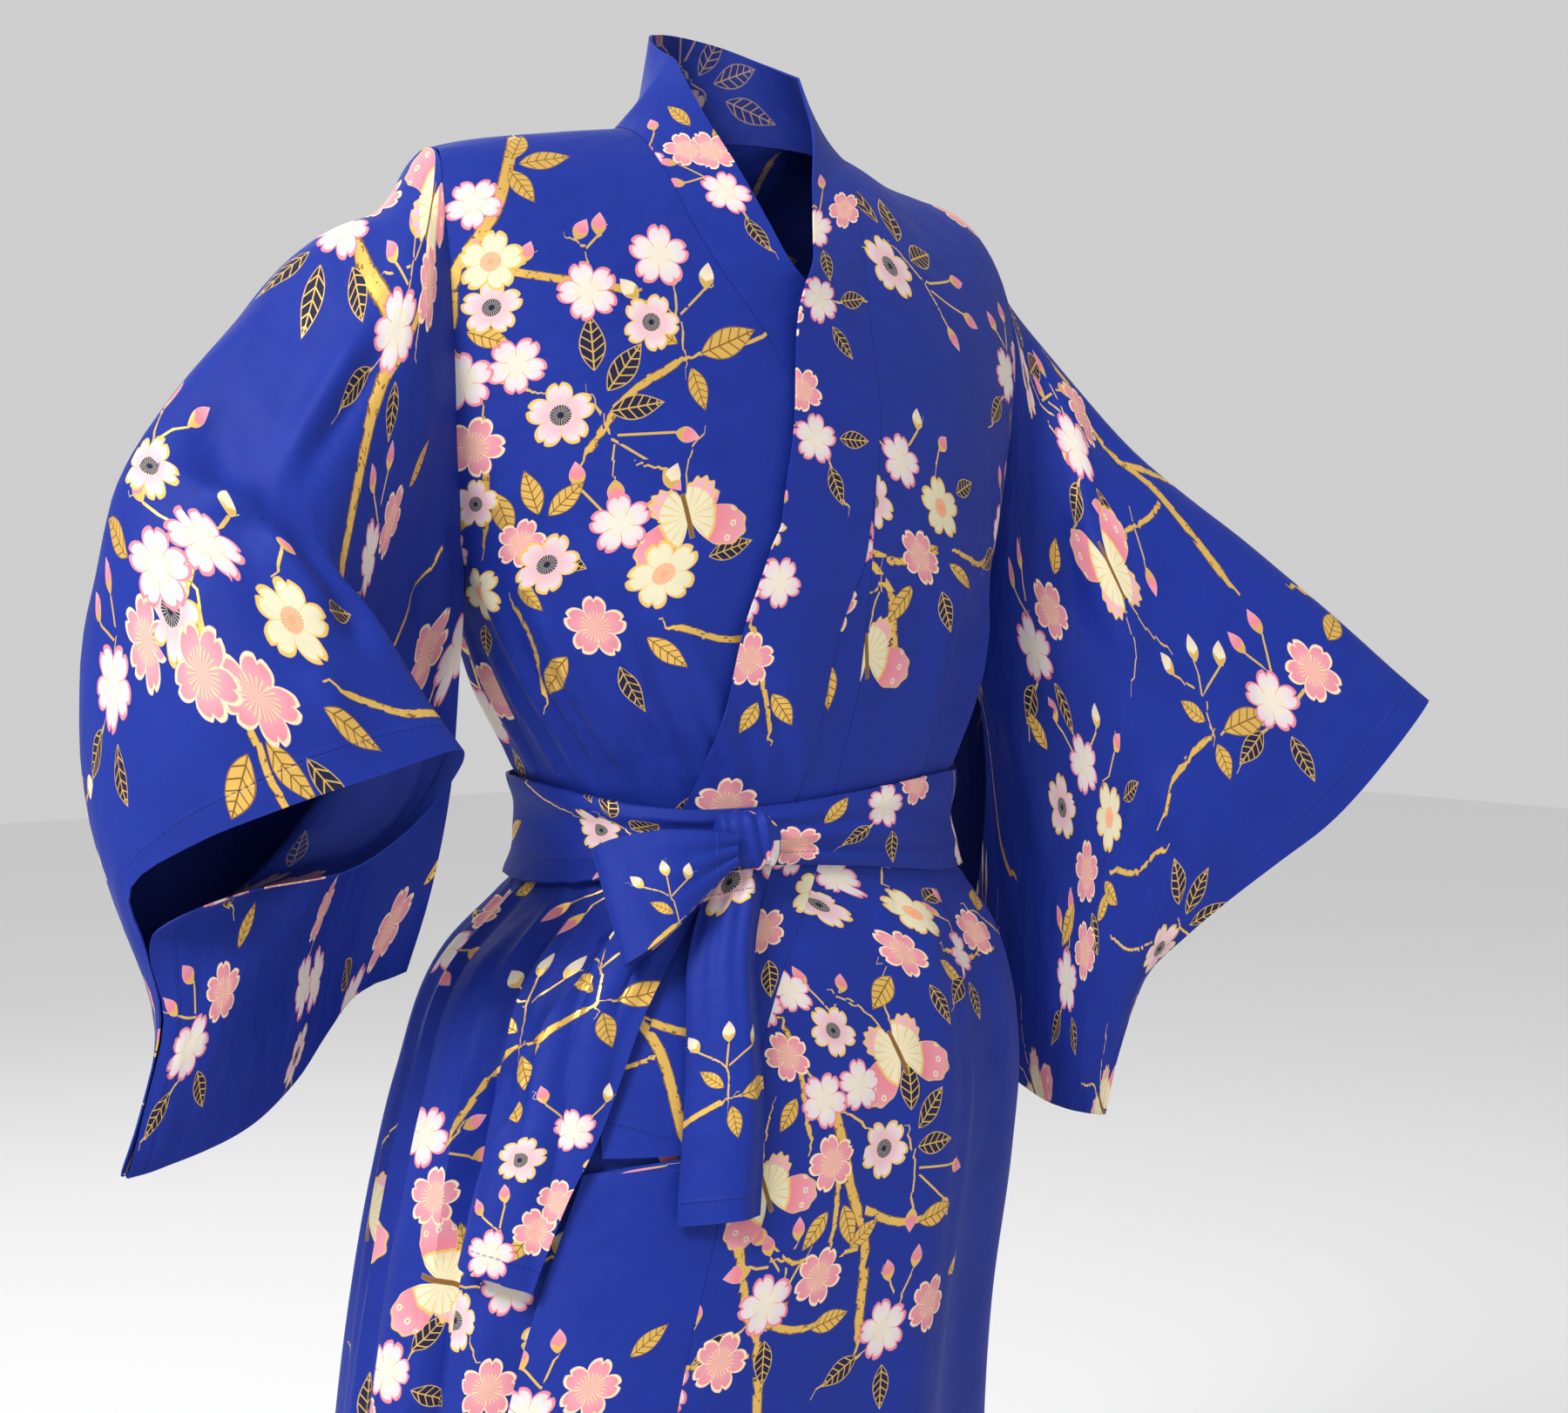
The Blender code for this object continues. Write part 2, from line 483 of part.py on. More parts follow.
def band_front(left, levels):
    """The neckband down one front, from its seam to its free edge."""
    sign = 1 if left else -1
    table, edges = (LEFT_NECK, LEFT_EDGE) if left else (RIGHT_NECK, RIGHT_EDGE)
    place = UNDERARM + np.where(levels < 0, levels, 0.0)
    share = np.linspace(0.0, 1.0, 5)
    side = column(table, "side", levels, "level")
    height = form(side_angle(side, levels), levels)[:, 2]
    step = 0.01
    side_up = column(table, "side", levels + step, "level")
    height_up = form(side_angle(side_up, levels + step), levels + step)[:, 2]
    side_low = column(table, "side", levels - step, "level")
    height_low = form(side_angle(side_low, levels - step), levels - step)[:, 2]
    run = np.stack([side_up - side_low, height_up - height_low], -1)
    run[levels < BAND_END + step] = run[levels > BAND_END + step][0]
    run[levels > 0.9] = run[levels > 0.9][0]
    run /= np.linalg.norm(run, axis=-1, keepdims=True)
    square = np.stack([-sign * run[:, 1], sign * run[:, 0]], -1)
    width = column(BAND_WIDE, "width", levels, "level")
    along = side[:, None] + square[:, :1] * (width[:, None] * share + SEAM)
    rise = height[:, None] + square[:, 1:] * (width[:, None] * share + SEAM)
    lowest = UNDERARM + BAND_END + SEAM
    rise = np.maximum(rise, lowest)
    rise[0] = lowest
    level = level_at(along, rise)
    angle = side_angle(along, level)
    raised = 0.0013 * share * smooth(-0.415, -0.375, rise) if left else 0.0
    on_chest = form(angle, level, layer_out(angle, left) + raised)
    start = form(side_angle(side, levels), levels, layer_out(side_angle(side, levels), left))
    where = np.clip(levels, edges["level"][0], None)
    edge = np.stack([column(edges, axis, where, "level") for axis in "xyz"], -1)
    begin = start + (edge - start) * (0.0011 / np.linalg.norm(edge - start, axis=-1, keepdims=True))
    standing = begin[:, None] + (edge - begin)[:, None] * share[:, None]
    blend = smooth(0.24, 0.50, levels)[:, None, None]
    return on_chest + (standing - on_chest) * blend


def band_nape():
    share = np.linspace(0.0, 1.0, 5)
    part = np.arange(1, NAPE + 1) / NAPE
    left = 180 - neck_seam(1.0, True)
    right = -180 - neck_seam(1.0, False)
    angle = np.concatenate([left + (180 - left) * part, right + (-180 - right) * part[-2::-1]])
    turns = 90 * np.concatenate([part, 2 - part[-2::-1]])
    start = form(angle, 1.0)
    edge = np.stack([column(COLLAR_TOP, "edge_" + axis, turns, "turn") for axis in "xyz"], -1)
    begin = start + (edge - start) * (0.0014 / np.linalg.norm(edge - start, axis=-1, keepdims=True))
    return begin[:, None] + (edge - begin)[:, None] * share[:, None]


def neckband():
    low = SKIRT_LEVELS[SKIRT_LEVELS > BAND_END - 0.001]
    levels = np.concatenate([low, [GORE_TIP], CHEST_LEVELS[1:]])
    points = np.concatenate([band_front(True, levels), band_nape(), band_front(False, levels)[::-1]])
    return join("collar", points, band_normals(points), BAND)


def band_normals(points):
    normals = grid_normals(points)
    away = points - np.array((0.0, -0.01, 0.0))
    away[..., 2] = 0.0
    if np.sum(normals * away) < 0:
        normals = -normals
    return normals


def part_layers(points, fold, sewn):
    """Keeps the bag's two layers apart, and brings them together along the sewn part of the wrist edge."""
    across = sum(points[:, fold - k] - points[:, fold + k] for k in (2, 3, 4))
    across[-1] = across[-2]
    across /= np.linalg.norm(across, axis=-1, keepdims=True)
    for k in range(1, fold - 3):
        a, b = points[:, fold - k].copy(), points[:, fold + k].copy()
        apart = np.sum((a - b) * across, axis=-1, keepdims=True)
        least = np.full_like(apart, FOLD_OPEN * (0.7 if k == 1 else 1.0))
        more = np.maximum(least - apart, 0.0) / 2
        if k == 1:
            more = (least - apart) / 2
        points[:, fold - k] = a + across * more
        points[:, fold + k] = b - across * more
        if k <= sewn:
            middle = (a[-1] + b[-1]) / 2
            half = across[-1] * ((CLOTH + SEAM) / 2 if k > 1 else 0.0021)
            points[-1, fold - k] = middle + half
            points[-1, fold + k] = middle - half
    return points


def sleeve(left):
    """A flat bag of cloth hung over the arm: rings from the armhole and free body edge to the cuff."""
    sign = 1 if left else -1
    table, free = (LEFT_SLEEVE, LEFT_FREE) if left else (RIGHT_SLEEVE, RIGHT_FREE)
    gap = math.degrees(SEAM / 2 / 0.2)
    levels = CHEST_LEVELS
    arm = column(ARMHOLE, "left" if left else "right", levels, "level")
    front_angle = sign * (arm + gap)
    back_angle = sign * (180 - arm - gap)
    out = layer_out(front_angle, left)
    front = form(front_angle, levels, out) + np.array((sign * 0.0002, 0, 0))
    front_face = face_out(front_angle, levels, out)
    back = form(back_angle, levels) + np.array((sign * 0.0002, 0, 0))
    back_face = face_out(back_angle, levels)
    front_free, low, back_free = np.array(free[:2]), np.array(free[2]), np.array(free[3:])
    under = sign * np.array((0.004, 0, 0))
    front[0] += under + np.array((0, -0.003, -0.001))
    back[0] += under + np.array((0, 0.003, -0.001))
    share = np.array((0.25, 0.50, 0.75, 0.972, 1.0))
    back_fall = spline((0, 0.25, 0.6, 1.0), np.array([back[0], back_free[1], back_free[0], low]), share)
    front_fall = spline((0, 0.25, 0.6, 1.0), np.array([front[0], front_free[0], front_free[1], low]), share)
    first = np.concatenate([back[::-1], back_fall, front_fall[-2::-1], front[:-1]])
    faces = np.concatenate([back_face[::-1], np.zeros((9, 3)), front_face[:-1]])
    lengths = np.linalg.norm(np.roll(first, -1, axis=0) - first, axis=1)
    half = 12
    places = np.concatenate([[0.0], np.cumsum(lengths[:half]) / np.sum(lengths[:half]),
                             1 + np.cumsum(lengths[half:-1]) / np.sum(lengths[half:])])
    rings = [first]
    for row in table:
        around = np.array(row)
        around = np.concatenate([around[-2:], around, around[:3]])
        spots = np.array([LINE_PLACES[-2] - 2, LINE_PLACES[-1] - 2, *LINE_PLACES, 2.0, 2 + LINE_PLACES[1],
                          2 + LINE_PLACES[2]])
        rings.append(spline(spots, around, places))
    along = np.array((0, 0.3, 0.6, 1, 1.5, 2, 2.5, 3, 3.5, 4, 4.5, 5, 5.5, 6.0))
    points = spline(np.arange(len(rings)), np.array(rings), along)
    sewn_from = SEWN_FROM["left" if left else "right"]
    points = part_layers(points, half, int(np.sum(places[:half] >= sewn_from)))
    seam = np.roll(points[0], -1, axis=0) - np.roll(points[0], 1, axis=0)
    seam /= np.linalg.norm(seam, axis=-1, keepdims=True)
    run = points[1] - points[0]
    run -= seam * np.sum(run * seam, axis=-1, keepdims=True)
    run /= np.linalg.norm(run, axis=-1, keepdims=True)
    gap_along = ARMHOLE_GAP["left" if left else "right"]
    sine = np.clip(np.abs(np.sum(run * faces, axis=-1, keepdims=True)), 0.001, 0.999)
    cosine = np.sqrt(1 - sine**2)
    points[0] += run * (gap_along + CLOTH / 2 * np.minimum(sine / cosine, (1 + cosine) / sine))
    normals = grid_normals(points, True)
    if np.sum(normals[0] * faces) < 0:
        normals = -normals
    name = "sleeve_left" if left else "sleeve_right"
    return join(name, points, normals, CLOTH, ring=True)


def waist_point(angle, height, off):
    """Point off the robe's outer face in the sash's zone, where the robe's rows are straight between."""
    rows = SASH_HEIGHT + np.array((-0.032, 0.0, 0.032))
    spots = [form(angle, row - UNDERARM, LAYER) for row in rows]
    faces = [face_out(angle, row - UNDERARM, LAYER) for row in rows]
    t = np.clip((height - rows[0]) / 0.032, 0.0, 2.0)
    low = np.clip(t, 0, 1)[..., None]
    high = np.clip(t - 1, 0, 1)[..., None]
    point = spots[0] + (spots[1] - spots[0]) * low + (spots[2] - spots[1]) * high
    face = faces[0] + (faces[1] - faces[0]) * low + (faces[2] - faces[1]) * high
    face = face / np.linalg.norm(face, axis=-1, keepdims=True)
    return point + face * np.asarray(off)[..., None], face


SASH_OFF = CLOTH / 2 + SASH / 2 + 0.0014


def sash_round():
    angle = np.linspace(0.0, 360.0, 49)[:-1] + KNOT_ANGLE
    away = np.minimum(np.linspace(0.0, 360.0, 49)[:-1], 360.0 - np.linspace(0.0, 360.0, 49)[:-1])
    wide = SASH_KNOT_WIDE + (SASH_WIDE - SASH_KNOT_WIDE) * smooth(4.0, 70.0, away)
    across = np.array((1.0, 0.5, 0.0, -0.5, -1.0))
    puff = np.array((0.0, 0.0016, 0.0004, 0.0020, 0.0))
    rows, faces = [], []
    for part, swell in zip(across, puff):
        spot, face = waist_point(angle, SASH_HEIGHT + part * wide / 2, SASH_OFF + swell + 0 * angle)
        rows.append(spot)
        faces.append(face)
    return join("belt_round", np.array(rows), np.array(faces), SASH, ring=True)


def tail(name, table, crest):
    """A tail of the sash, laid along the skirt."""
    stations = np.linspace(0, 1, 15)
    keys = np.linspace(0, 1, len(table["height"]))
    data = {key: spline(keys, table[key], stations) for key in table}
    centre = form(data["angle"], data["height"] - UNDERARM, LAYER)
    radius = np.hypot(centre[:, 0], centre[:, 1])
    arc = np.radians(data["angle"]) * radius.mean()
    run = np.stack([np.gradient(arc), np.gradient(data["height"])], -1)
    run /= np.linalg.norm(run, axis=-1, keepdims=True)
    across = np.linspace(-1.0, 1.0, 7)
    swell = np.interp(across, (-1.0, crest, 1.0), (0.0, 1.0, 0.0))
    swell = swell * swell * (3 - 2 * swell)
    reach = data["width"][:, None] / 2 * across
    angle = data["angle"][:, None] - np.degrees(reach * run[:, 1:] / radius[:, None])
    height = data["height"][:, None] + reach * run[:, :1]
    base = form(angle, height - UNDERARM, LAYER)
    face = face_out(angle, height - UNDERARM, LAYER)
    off = data["off"][:, None] + data["bulge"][:, None] * swell
    points = base + face * off[..., None]
    normals = grid_normals(points)
    if np.sum(normals * face) < 0:
        normals = -normals
    return join(name, points, normals, SASH)


def bow_loop():
    stations = np.linspace(0, 1, 25)
    keys = np.linspace(0, 1, len(LOOP["run"]))
    data = {key: spline(keys, LOOP[key], stations) for key in LOOP}
    root, tip = np.array(LOOP_ROOT), np.array(LOOP_TIP)
    lean = np.array(LOOP_LEAN)
    lean = lean / np.linalg.norm(lean)
    ahead = np.cross(tip - root, lean)
    ahead /= np.linalg.norm(ahead)
    if ahead[1] > 0:
        ahead = -ahead
    up = np.array((0.0, 0.0, -1.0))
    widths = up + (lean - up) * smooth(0.0, 0.8, data["run"])[:, None]
    widths /= np.linalg.norm(widths, axis=-1, keepdims=True)
    across = np.linspace(-1.0, 1.0, 6)
    middle = root + (tip - root) * data["run"][:, None] + ahead * data["ahead"][:, None]
    points = middle[:, None] + widths[:, None] * (data["half"][:, None] * across)[..., None]
    normals = grid_normals(points)
    if np.sum(normals[:8] * ahead) < 0:
        normals = -normals
    return join("belt_loop", points, normals, SASH)


def knot():
    """The tied knot: a rounded lump of gathered cloth in front of the sash."""
    spot, face = waist_point(np.array(KNOT_ANGLE), np.array(SASH_HEIGHT), np.array(SASH_OFF))
    deep, wide, tall = 0.0095, 0.021, 0.0165
    centre = spot + face * (SASH / 2 + 0.0030 + deep)
    side = np.cross((0.0, 0.0, 1.0), face)
    side /= np.linalg.norm(side)
    up = np.cross(face, side)
    corners, faces = [centre - up * tall], []
    bands, turns = 8, 16
    for band in range(1, bands):
        lift = math.pi * band / bands
        for turn in range(turns):
            round_ = 2 * math.pi * turn / turns
            crease = 1 - 0.10 * math.cos(3 * round_ + 2 * lift) * math.sin(lift)
            across = math.copysign(abs(math.cos(round_)) ** 0.8, math.cos(round_)) * math.sin(lift) ** 0.8
            ahead = math.copysign(abs(math.sin(round_)) ** 0.8, math.sin(round_)) * math.sin(lift) ** 0.8
            corners.append(centre + side * wide * across * crease + face * deep * ahead * crease
                           - up * tall * math.cos(lift))
    corners.append(centre + up * tall)
    last = len(corners) - 1
    for turn in range(turns):
        after = (turn + 1) % turns
        faces.append((0, 1 + after, 1 + turn))
        faces.append((last, last - turns + turn, last - turns + after))
        for band in range(bands - 2):
            a, b = 1 + band * turns + turn, 1 + band * turns + after
            faces.append((a, b, b + turns))
            faces.append((a, b + turns, a + turns))
    flipped = np.dot(np.cross(side, face), up) < 0
    if flipped:
        faces = [face_[::-1] for face_ in faces]
    return add("belt_knot", corners, faces, COTTON, 0.75)


body_panel(True)
body_panel(False)
gore(True)
gore(False)
neckband()
sleeve(True)
sleeve(False)
sash_round()
knot()
bow_loop()
tail("belt_tail_long", LONG_TAIL, 0.45)
tail("belt_tail_side", SIDE_TAIL, -0.2)
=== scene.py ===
# A worn kimono robe of printed cotton with its own narrow sash: blue ground, blossom boughs in pink,
# cream and gold, and butterflies. Metres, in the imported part's frame: +Z up, the front faces -Y and
# the robe's own left is +X. Every piece of cloth is a thin shell on the same surface as its solid.

import math

import bpy
import numpy as np
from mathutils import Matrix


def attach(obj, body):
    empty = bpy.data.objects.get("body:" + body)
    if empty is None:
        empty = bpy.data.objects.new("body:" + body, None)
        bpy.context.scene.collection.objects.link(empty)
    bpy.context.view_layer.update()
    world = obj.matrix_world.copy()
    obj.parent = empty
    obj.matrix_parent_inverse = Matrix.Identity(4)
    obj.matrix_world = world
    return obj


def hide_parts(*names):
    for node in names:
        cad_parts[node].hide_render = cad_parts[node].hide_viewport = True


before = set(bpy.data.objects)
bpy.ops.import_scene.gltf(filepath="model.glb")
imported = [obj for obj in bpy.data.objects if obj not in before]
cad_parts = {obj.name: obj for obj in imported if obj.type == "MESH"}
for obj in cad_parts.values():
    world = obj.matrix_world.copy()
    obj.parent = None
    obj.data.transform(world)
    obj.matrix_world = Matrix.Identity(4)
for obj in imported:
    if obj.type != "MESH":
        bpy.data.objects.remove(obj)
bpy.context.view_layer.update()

# The studio: a pale floor under a robe that is held up, a lamp at the viewer's left and above,
# a weaker fill from the right, and the camera at chest height in front of the robe's right side.
PHOTO_WIDE = 1800         # width of the photo, in its pixels
SHIFT_RIGHT = 70          # how far the photo's middle lies beside the line of sight, in its pixels
SHIFT_DOWN = 151          # and how far below it
CAMERA_HEIGHT = -0.29
CAMERA_AWAY = 1.6         # distance of the camera from the robe's middle line

scene = bpy.context.scene
scene.view_settings.view_transform = "Standard"
sight = np.array((0.616, 0.788, 0.0))
camera = bpy.data.objects.new("camera", bpy.data.cameras.new("camera"))
camera.location = np.array((0.0, 0.0, CAMERA_HEIGHT)) - CAMERA_AWAY * sight
camera.rotation_euler = (math.radians(90), 0.0, -math.atan2(sight[0], sight[1]))
camera.data.sensor_width = 36.0
camera.data.lens = 57.6
camera.data.shift_x = SHIFT_RIGHT / PHOTO_WIDE
camera.data.shift_y = -SHIFT_DOWN / PHOTO_WIDE
scene.collection.objects.link(camera)
scene.camera = camera

FLOOR = -1.345            # height of the floor, below the robe's hem
FLOOR_WIDE = 9            # half the floor's width
corners = [(x * FLOOR_WIDE, y * FLOOR_WIDE, FLOOR) for x, y in ((-1, -1), (1, -1), (1, 1), (-1, 1))]
floor_mesh = bpy.data.meshes.new("floor")
floor_mesh.from_pydata(corners, [], [(0, 1, 2, 3)])
floor = bpy.data.objects.new("floor", floor_mesh)
scene.collection.objects.link(floor)
pale = bpy.data.materials.new("pale_floor")
pale.use_nodes = True
pale.node_tree.nodes["Principled BSDF"].inputs["Base Color"].default_value = (0.88, 0.88, 0.88, 1)
pale.node_tree.nodes["Principled BSDF"].inputs["Roughness"].default_value = 0.8
floor_mesh.materials.append(pale)

for name, power, size, place, aim in (("key", 150, 1.1, (-2.9, -0.9, 1.9), (0.0, 0.0, -0.55)),
                                      ("fill", 6, 2.6, (2.4, -2.4, 0.2), (0.0, 0.0, -0.6)),
                                      ("back", 26, 2.0, (0.6, 2.6, 1.6), (0.0, 0.0, -0.5))):
    lamp = bpy.data.lights.new(name, "AREA")
    lamp.energy = power
    lamp.size = size
    holder = bpy.data.objects.new(name, lamp)
    holder.location = place
    direction = np.array(aim) - np.array(place)
    holder.rotation_euler = (math.atan2(math.hypot(direction[0], direction[1]), -direction[2]), 0.0,
                             math.atan2(direction[1], direction[0]) - math.pi / 2)
    scene.collection.objects.link(holder)
sky = bpy.data.worlds.new("studio")
sky.use_nodes = True
sky.node_tree.nodes["Background"].inputs["Color"].default_value = (1.0, 1.0, 1.0, 1.0)
sky.node_tree.nodes["Background"].inputs["Strength"].default_value = 0.62
scene.world = sky

# The two body panels: each one length of narrow loom cotton from the front hem over the shoulder to the
# back hem, sewn to the other down the centre back, with the folds that the sash and the sleeves draw in it.
CLOTH = 0.0010            # thickness of the cotton
SEAM = 0.0003             # gap left between two pieces at a seam
LAYER = 0.0032            # half the distance between the two fronts where they overlap
ROUND = 0.91              # power that squares a section a little, 1 is an ellipse

UNDERARM = -0.300         # height of the armhole's lower end
NECK_BACK = 0.67          # share of the back's depth left at the nape
SHOULDER = 0.288          # rise from the underarm to the side of the neck
RIDGE_TOP = 0.012         # rise of the shoulder's ridge above that
BODY_DEEP = 0.17          # a usual distance from the robe's middle line to its cloth
SEAM_TURN = math.degrees(SEAM / 2 / 0.2)    # half a seam's gap, as an angle round the robe
SASH_HEIGHT = -0.445      # height of the middle of the band round the waist

# The body's sections below the underarm: half the width, the depth to the front and to the back, and
# how far the middle stands to the left.
SECTIONS = dict(
    height=(-1.33, -1.00, -0.86, -0.75, -0.66, -0.60, -0.52, -0.477, -0.445, -0.406, -0.36, -0.30),
    half=(0.224, 0.212, 0.208, 0.207, 0.209, 0.207, 0.186, 0.151, 0.141, 0.150, 0.171, 0.190),
    front=(0.166, 0.157, 0.152, 0.147, 0.143, 0.137, 0.122, 0.110, 0.107, 0.112, 0.120, 0.126),
    back=(0.182, 0.173, 0.170, 0.165, 0.160, 0.152, 0.126, 0.103, 0.099, 0.101, 0.103, 0.106),
    middle=(-0.056, -0.056, -0.052, -0.039, -0.020, -0.008, 0.000, 0.008, 0.010, 0.008, 0.002, -0.004),
)
# Above the underarm a level runs from 0 there to 1 on the shoulder's ridge.
CHEST = dict(
    level=(0.0, 0.2, 0.4, 0.6, 1.0),
    half=(0.190, 0.216, 0.236, 0.250, 0.260),
    middle=(-0.004, -0.006, -0.006, -0.005, -0.003),
)
# The shoulder's ridge, as its drop below the neck's side. The left shoulder is the lower one.
RIDGE = dict(
    side=(-0.27, -0.21, -0.13, -0.085, -0.05, 0.0, 0.05, 0.085, 0.115, 0.15, 0.19, 0.24),
    drop=(0.062, 0.038, 0.022, 0.015, 0.008, 0.003, 0.008, 0.017, 0.029, 0.036, 0.044, 0.078),
)
# The armhole's seam: its angle round the section from the centre front at each level.
ARMHOLE = dict(
    level=(0.0, 0.10, 0.25, 0.50, 0.75, 1.0),
    right=(90.0, 83.0, 75.0, 66.0, 60.0, 54.0),
    left=(90.0, 80.0, 68.0, 56.0, 46.5, 40.0),
)

# The neckband's seam on each front, as the distance to the left of the middle at each level. Levels below
# 0 are metres below the underarm.
LEFT_NECK = dict(
    level=(-0.34, -0.26, -0.20, -0.14, -0.089, -0.024, 0.0, 0.118, 0.235, 0.375, 0.60, 0.70, 0.85, 1.0),
    side=(-0.124, -0.088, -0.061, -0.034, -0.021, -0.011, -0.002, 0.016, 0.027, 0.030, 0.048, 0.060,
          0.074, 0.085),
)
RIGHT_NECK = dict(
    level=(-0.34, -0.26, -0.20, -0.14, -0.089, -0.024, 0.0, 0.118, 0.226, 0.333, 0.444, 0.553, 0.667,
           1.0),
    side=(0.112, 0.080, 0.062, 0.047, 0.031, 0.011, 0.002, -0.016, -0.029, -0.046, -0.070, -0.084,
          -0.088, -0.086),
)
# The gores: the angle of the seam to the body panel, and of the free front edge, at each height.
GORE = dict(
    height=(-1.33, -0.70, -0.60, -0.52, -0.44, -0.36, -0.26),
    seam=(26.0, 24.0, 20.0, 13.0, 5.0, -1.0, -5.0),
    edge=(57.0, 54.0, 47.0, 47.0, 47.0, 47.0, 47.0),
)
GORE_TIP = 0.145          # level of the gore's upper end

# Pleats and drape folds: the angle at the upper and lower end, the heights they run between, half
# the width in degrees, and how far they stand out (or in, below 0). The skirt's come first, round from
# the front over the left side and the back to the right, then those over the sash.
FOLDS = dict(
    top=(17.0, 35.0, 52.0, 72.0, 92.0, 108.0, 132.0, 158.0, 182.0, 222.0, 244.0, 276.0, 286.0, 297.0,
         352.0, 32.0, 58.0, 322.0, 290.0, 200.0, 150.0),
    low=(19.0, 37.0, 56.0, 74.0, 92.0, 106.0, 128.0, 156.0, 184.0, 226.0, 246.0, 268.0, 280.0, 291.0,
         348.0, 14.0, 40.0, 334.0, 302.0, 190.0, 162.0),
    high=(-0.47, -0.48, -0.46, -0.47, -0.47, -0.47, -0.46, -0.46, -0.46, -0.46, -0.47, -0.47, -0.47,
          -0.47, -0.26, -0.26, -0.28, -0.26, -0.28, -0.24, -0.24),
    end=(-1.40, -1.40, -1.40, -1.40, -1.40, -1.40, -1.40, -1.40, -1.40, -1.40, -1.40, -1.15, -1.15,
         -1.10, -0.43, -0.43, -0.43, -0.43, -0.43, -0.43, -0.43),
    half=(11.0, 11.0, 12.0, 10.0, 10.0, 8.0, 10.0, 9.0, 10.0, 10.0, 8.0, 6.0, 5.0, 5.0, 10.0, 9.0, 9.0,
          10.0, 9.0, 9.0, 9.0),
    out=(0.009, -0.005, 0.009, -0.005, 0.004, -0.007, 0.010, -0.006, 0.008, 0.009, -0.006, 0.009,
         -0.006, 0.008, 0.0035, 0.006, 0.005, 0.0035, 0.006, 0.008, 0.007),
)
FOLD_FADE = 0.05          # length over which a fold grows from nothing at its ends
GATHER_START = 0.028      # distance from the sash's middle at which its gathers begin
GATHER_DEPTH = 2.6        # how many times as deep as in the tables the gathers are drawn
# The gathers that the sash draws in the cloth, above it and below it: the angle, how far each leans to
# the left on its way out, its length, half its width in degrees and how far it stands out.
GATHERS_UP = dict(
    angle=(4, 12, 21, 28, 40, 47, 58, 70, 82, 110, 124, 140, 156, 171, 187, 201, 216, 232, 251, 268,
           279, 287, 296, 303, 311, 318, 326, 333, 341, 350),
    lean=(-5, -3, 4, 3, 8, 4, 6, 3, 0, 2, 0, -2, 3, -3, 2, 0, -3, 2, 3, -6, -9, -14, -12, -16, -10, -13,
          -7, -10, -4, -8),
    reach=(0.07, 0.05, 0.10, 0.06, 0.09, 0.12, 0.07, 0.10, 0.06, 0.08, 0.10, 0.06, 0.09, 0.07, 0.10,
           0.06, 0.09, 0.07, 0.10, 0.12, 0.09, 0.15, 0.10, 0.13, 0.08, 0.14, 0.09, 0.11, 0.06, 0.09),
    half=(3.2, 2.6, 3.4, 2.6, 3.6, 3.0, 3.4, 3.8, 3.6, 4.0, 3.4, 4.0, 3.6, 3.4, 4.0, 3.6, 3.8, 4.0, 3.8,
          3.2, 2.8, 3.2, 2.6, 3.0, 2.6, 3.2, 2.8, 3.0, 2.6, 3.2),
    out=(0.0020, 0.0016, 0.0024, 0.0018, 0.0022, 0.0026, 0.0022, 0.0026, 0.0022, 0.0026, 0.0024, 0.0022,
         0.0026, 0.0022, 0.0024, 0.0022, 0.0026, 0.0022, 0.0024, 0.0028, 0.0026, 0.0034, 0.0026, 0.0032,
         0.0024, 0.0032, 0.0024, 0.0028, 0.0020, 0.0022),
)
GATHERS_DOWN = dict(
    angle=(8, 27, 43, 61, 76, 85, 99, 117, 139, 147, 166, 177, 193, 208, 231, 252, 263, 271, 282, 291,
           303, 312),
    lean=(3, -2, 4, 3, -3, 2, 0, 3, -2, 3, -3, 2, 0, -3, 2, -2, -4, -3, -5, -6, -4, -3),
    reach=(0.20, 0.32, 0.17, 0.35, 0.22, 0.40, 0.26, 0.36, 0.20, 0.34, 0.24, 0.38, 0.30, 0.22, 0.36,
           0.30, 0.44, 0.28, 0.50, 0.34, 0.24, 0.16),
    half=(2.6, 3.0, 2.6, 3.2, 2.6, 3.0, 3.4, 3.6, 3.4, 3.0, 3.6, 3.2, 3.6, 3.4, 3.8, 3.2, 2.6, 2.4, 2.8,
          2.6, 2.6, 2.4),
    out=(0.0020, 0.0028, 0.0020, 0.0032, 0.0024, 0.0030, 0.0028, 0.0032, 0.0026, 0.0030, 0.0026, 0.0030,
         0.0030, 0.0026, 0.0032, 0.0030, 0.0036, 0.0028, 0.0038, 0.0032, 0.0026, 0.0018),
)


def spline(places, values, at):
    """Smooth curve through the values, with slopes from the neighbours on both sides."""
    places = np.asarray(places, float)
    values = np.asarray(values, float)
    at = np.clip(np.asarray(at, float), places[0], places[-1])
    flat = values.reshape(len(places), -1)
    steps = np.diff(places)[:, None]
    chords = np.diff(flat, axis=0) / steps
    slopes = np.vstack([chords[:1], (chords[:-1] * steps[1:] + chords[1:] * steps[:-1])
                        / (steps[1:] + steps[:-1]), chords[-1:]])
    cell = np.clip(np.searchsorted(places, at.ravel(), side="right") - 1, 0, len(places) - 2)
    width = steps[cell]
    t = ((at.ravel() - places[cell]) / width[:, 0])[:, None]
    curve = ((2 * t**3 - 3 * t**2 + 1) * flat[cell] + (t**3 - 2 * t**2 + t) * width * slopes[cell]
             + (3 * t**2 - 2 * t**3) * flat[cell + 1] + (t**3 - t**2) * width * slopes[cell + 1])
    return curve.reshape(at.shape + values.shape[1:])


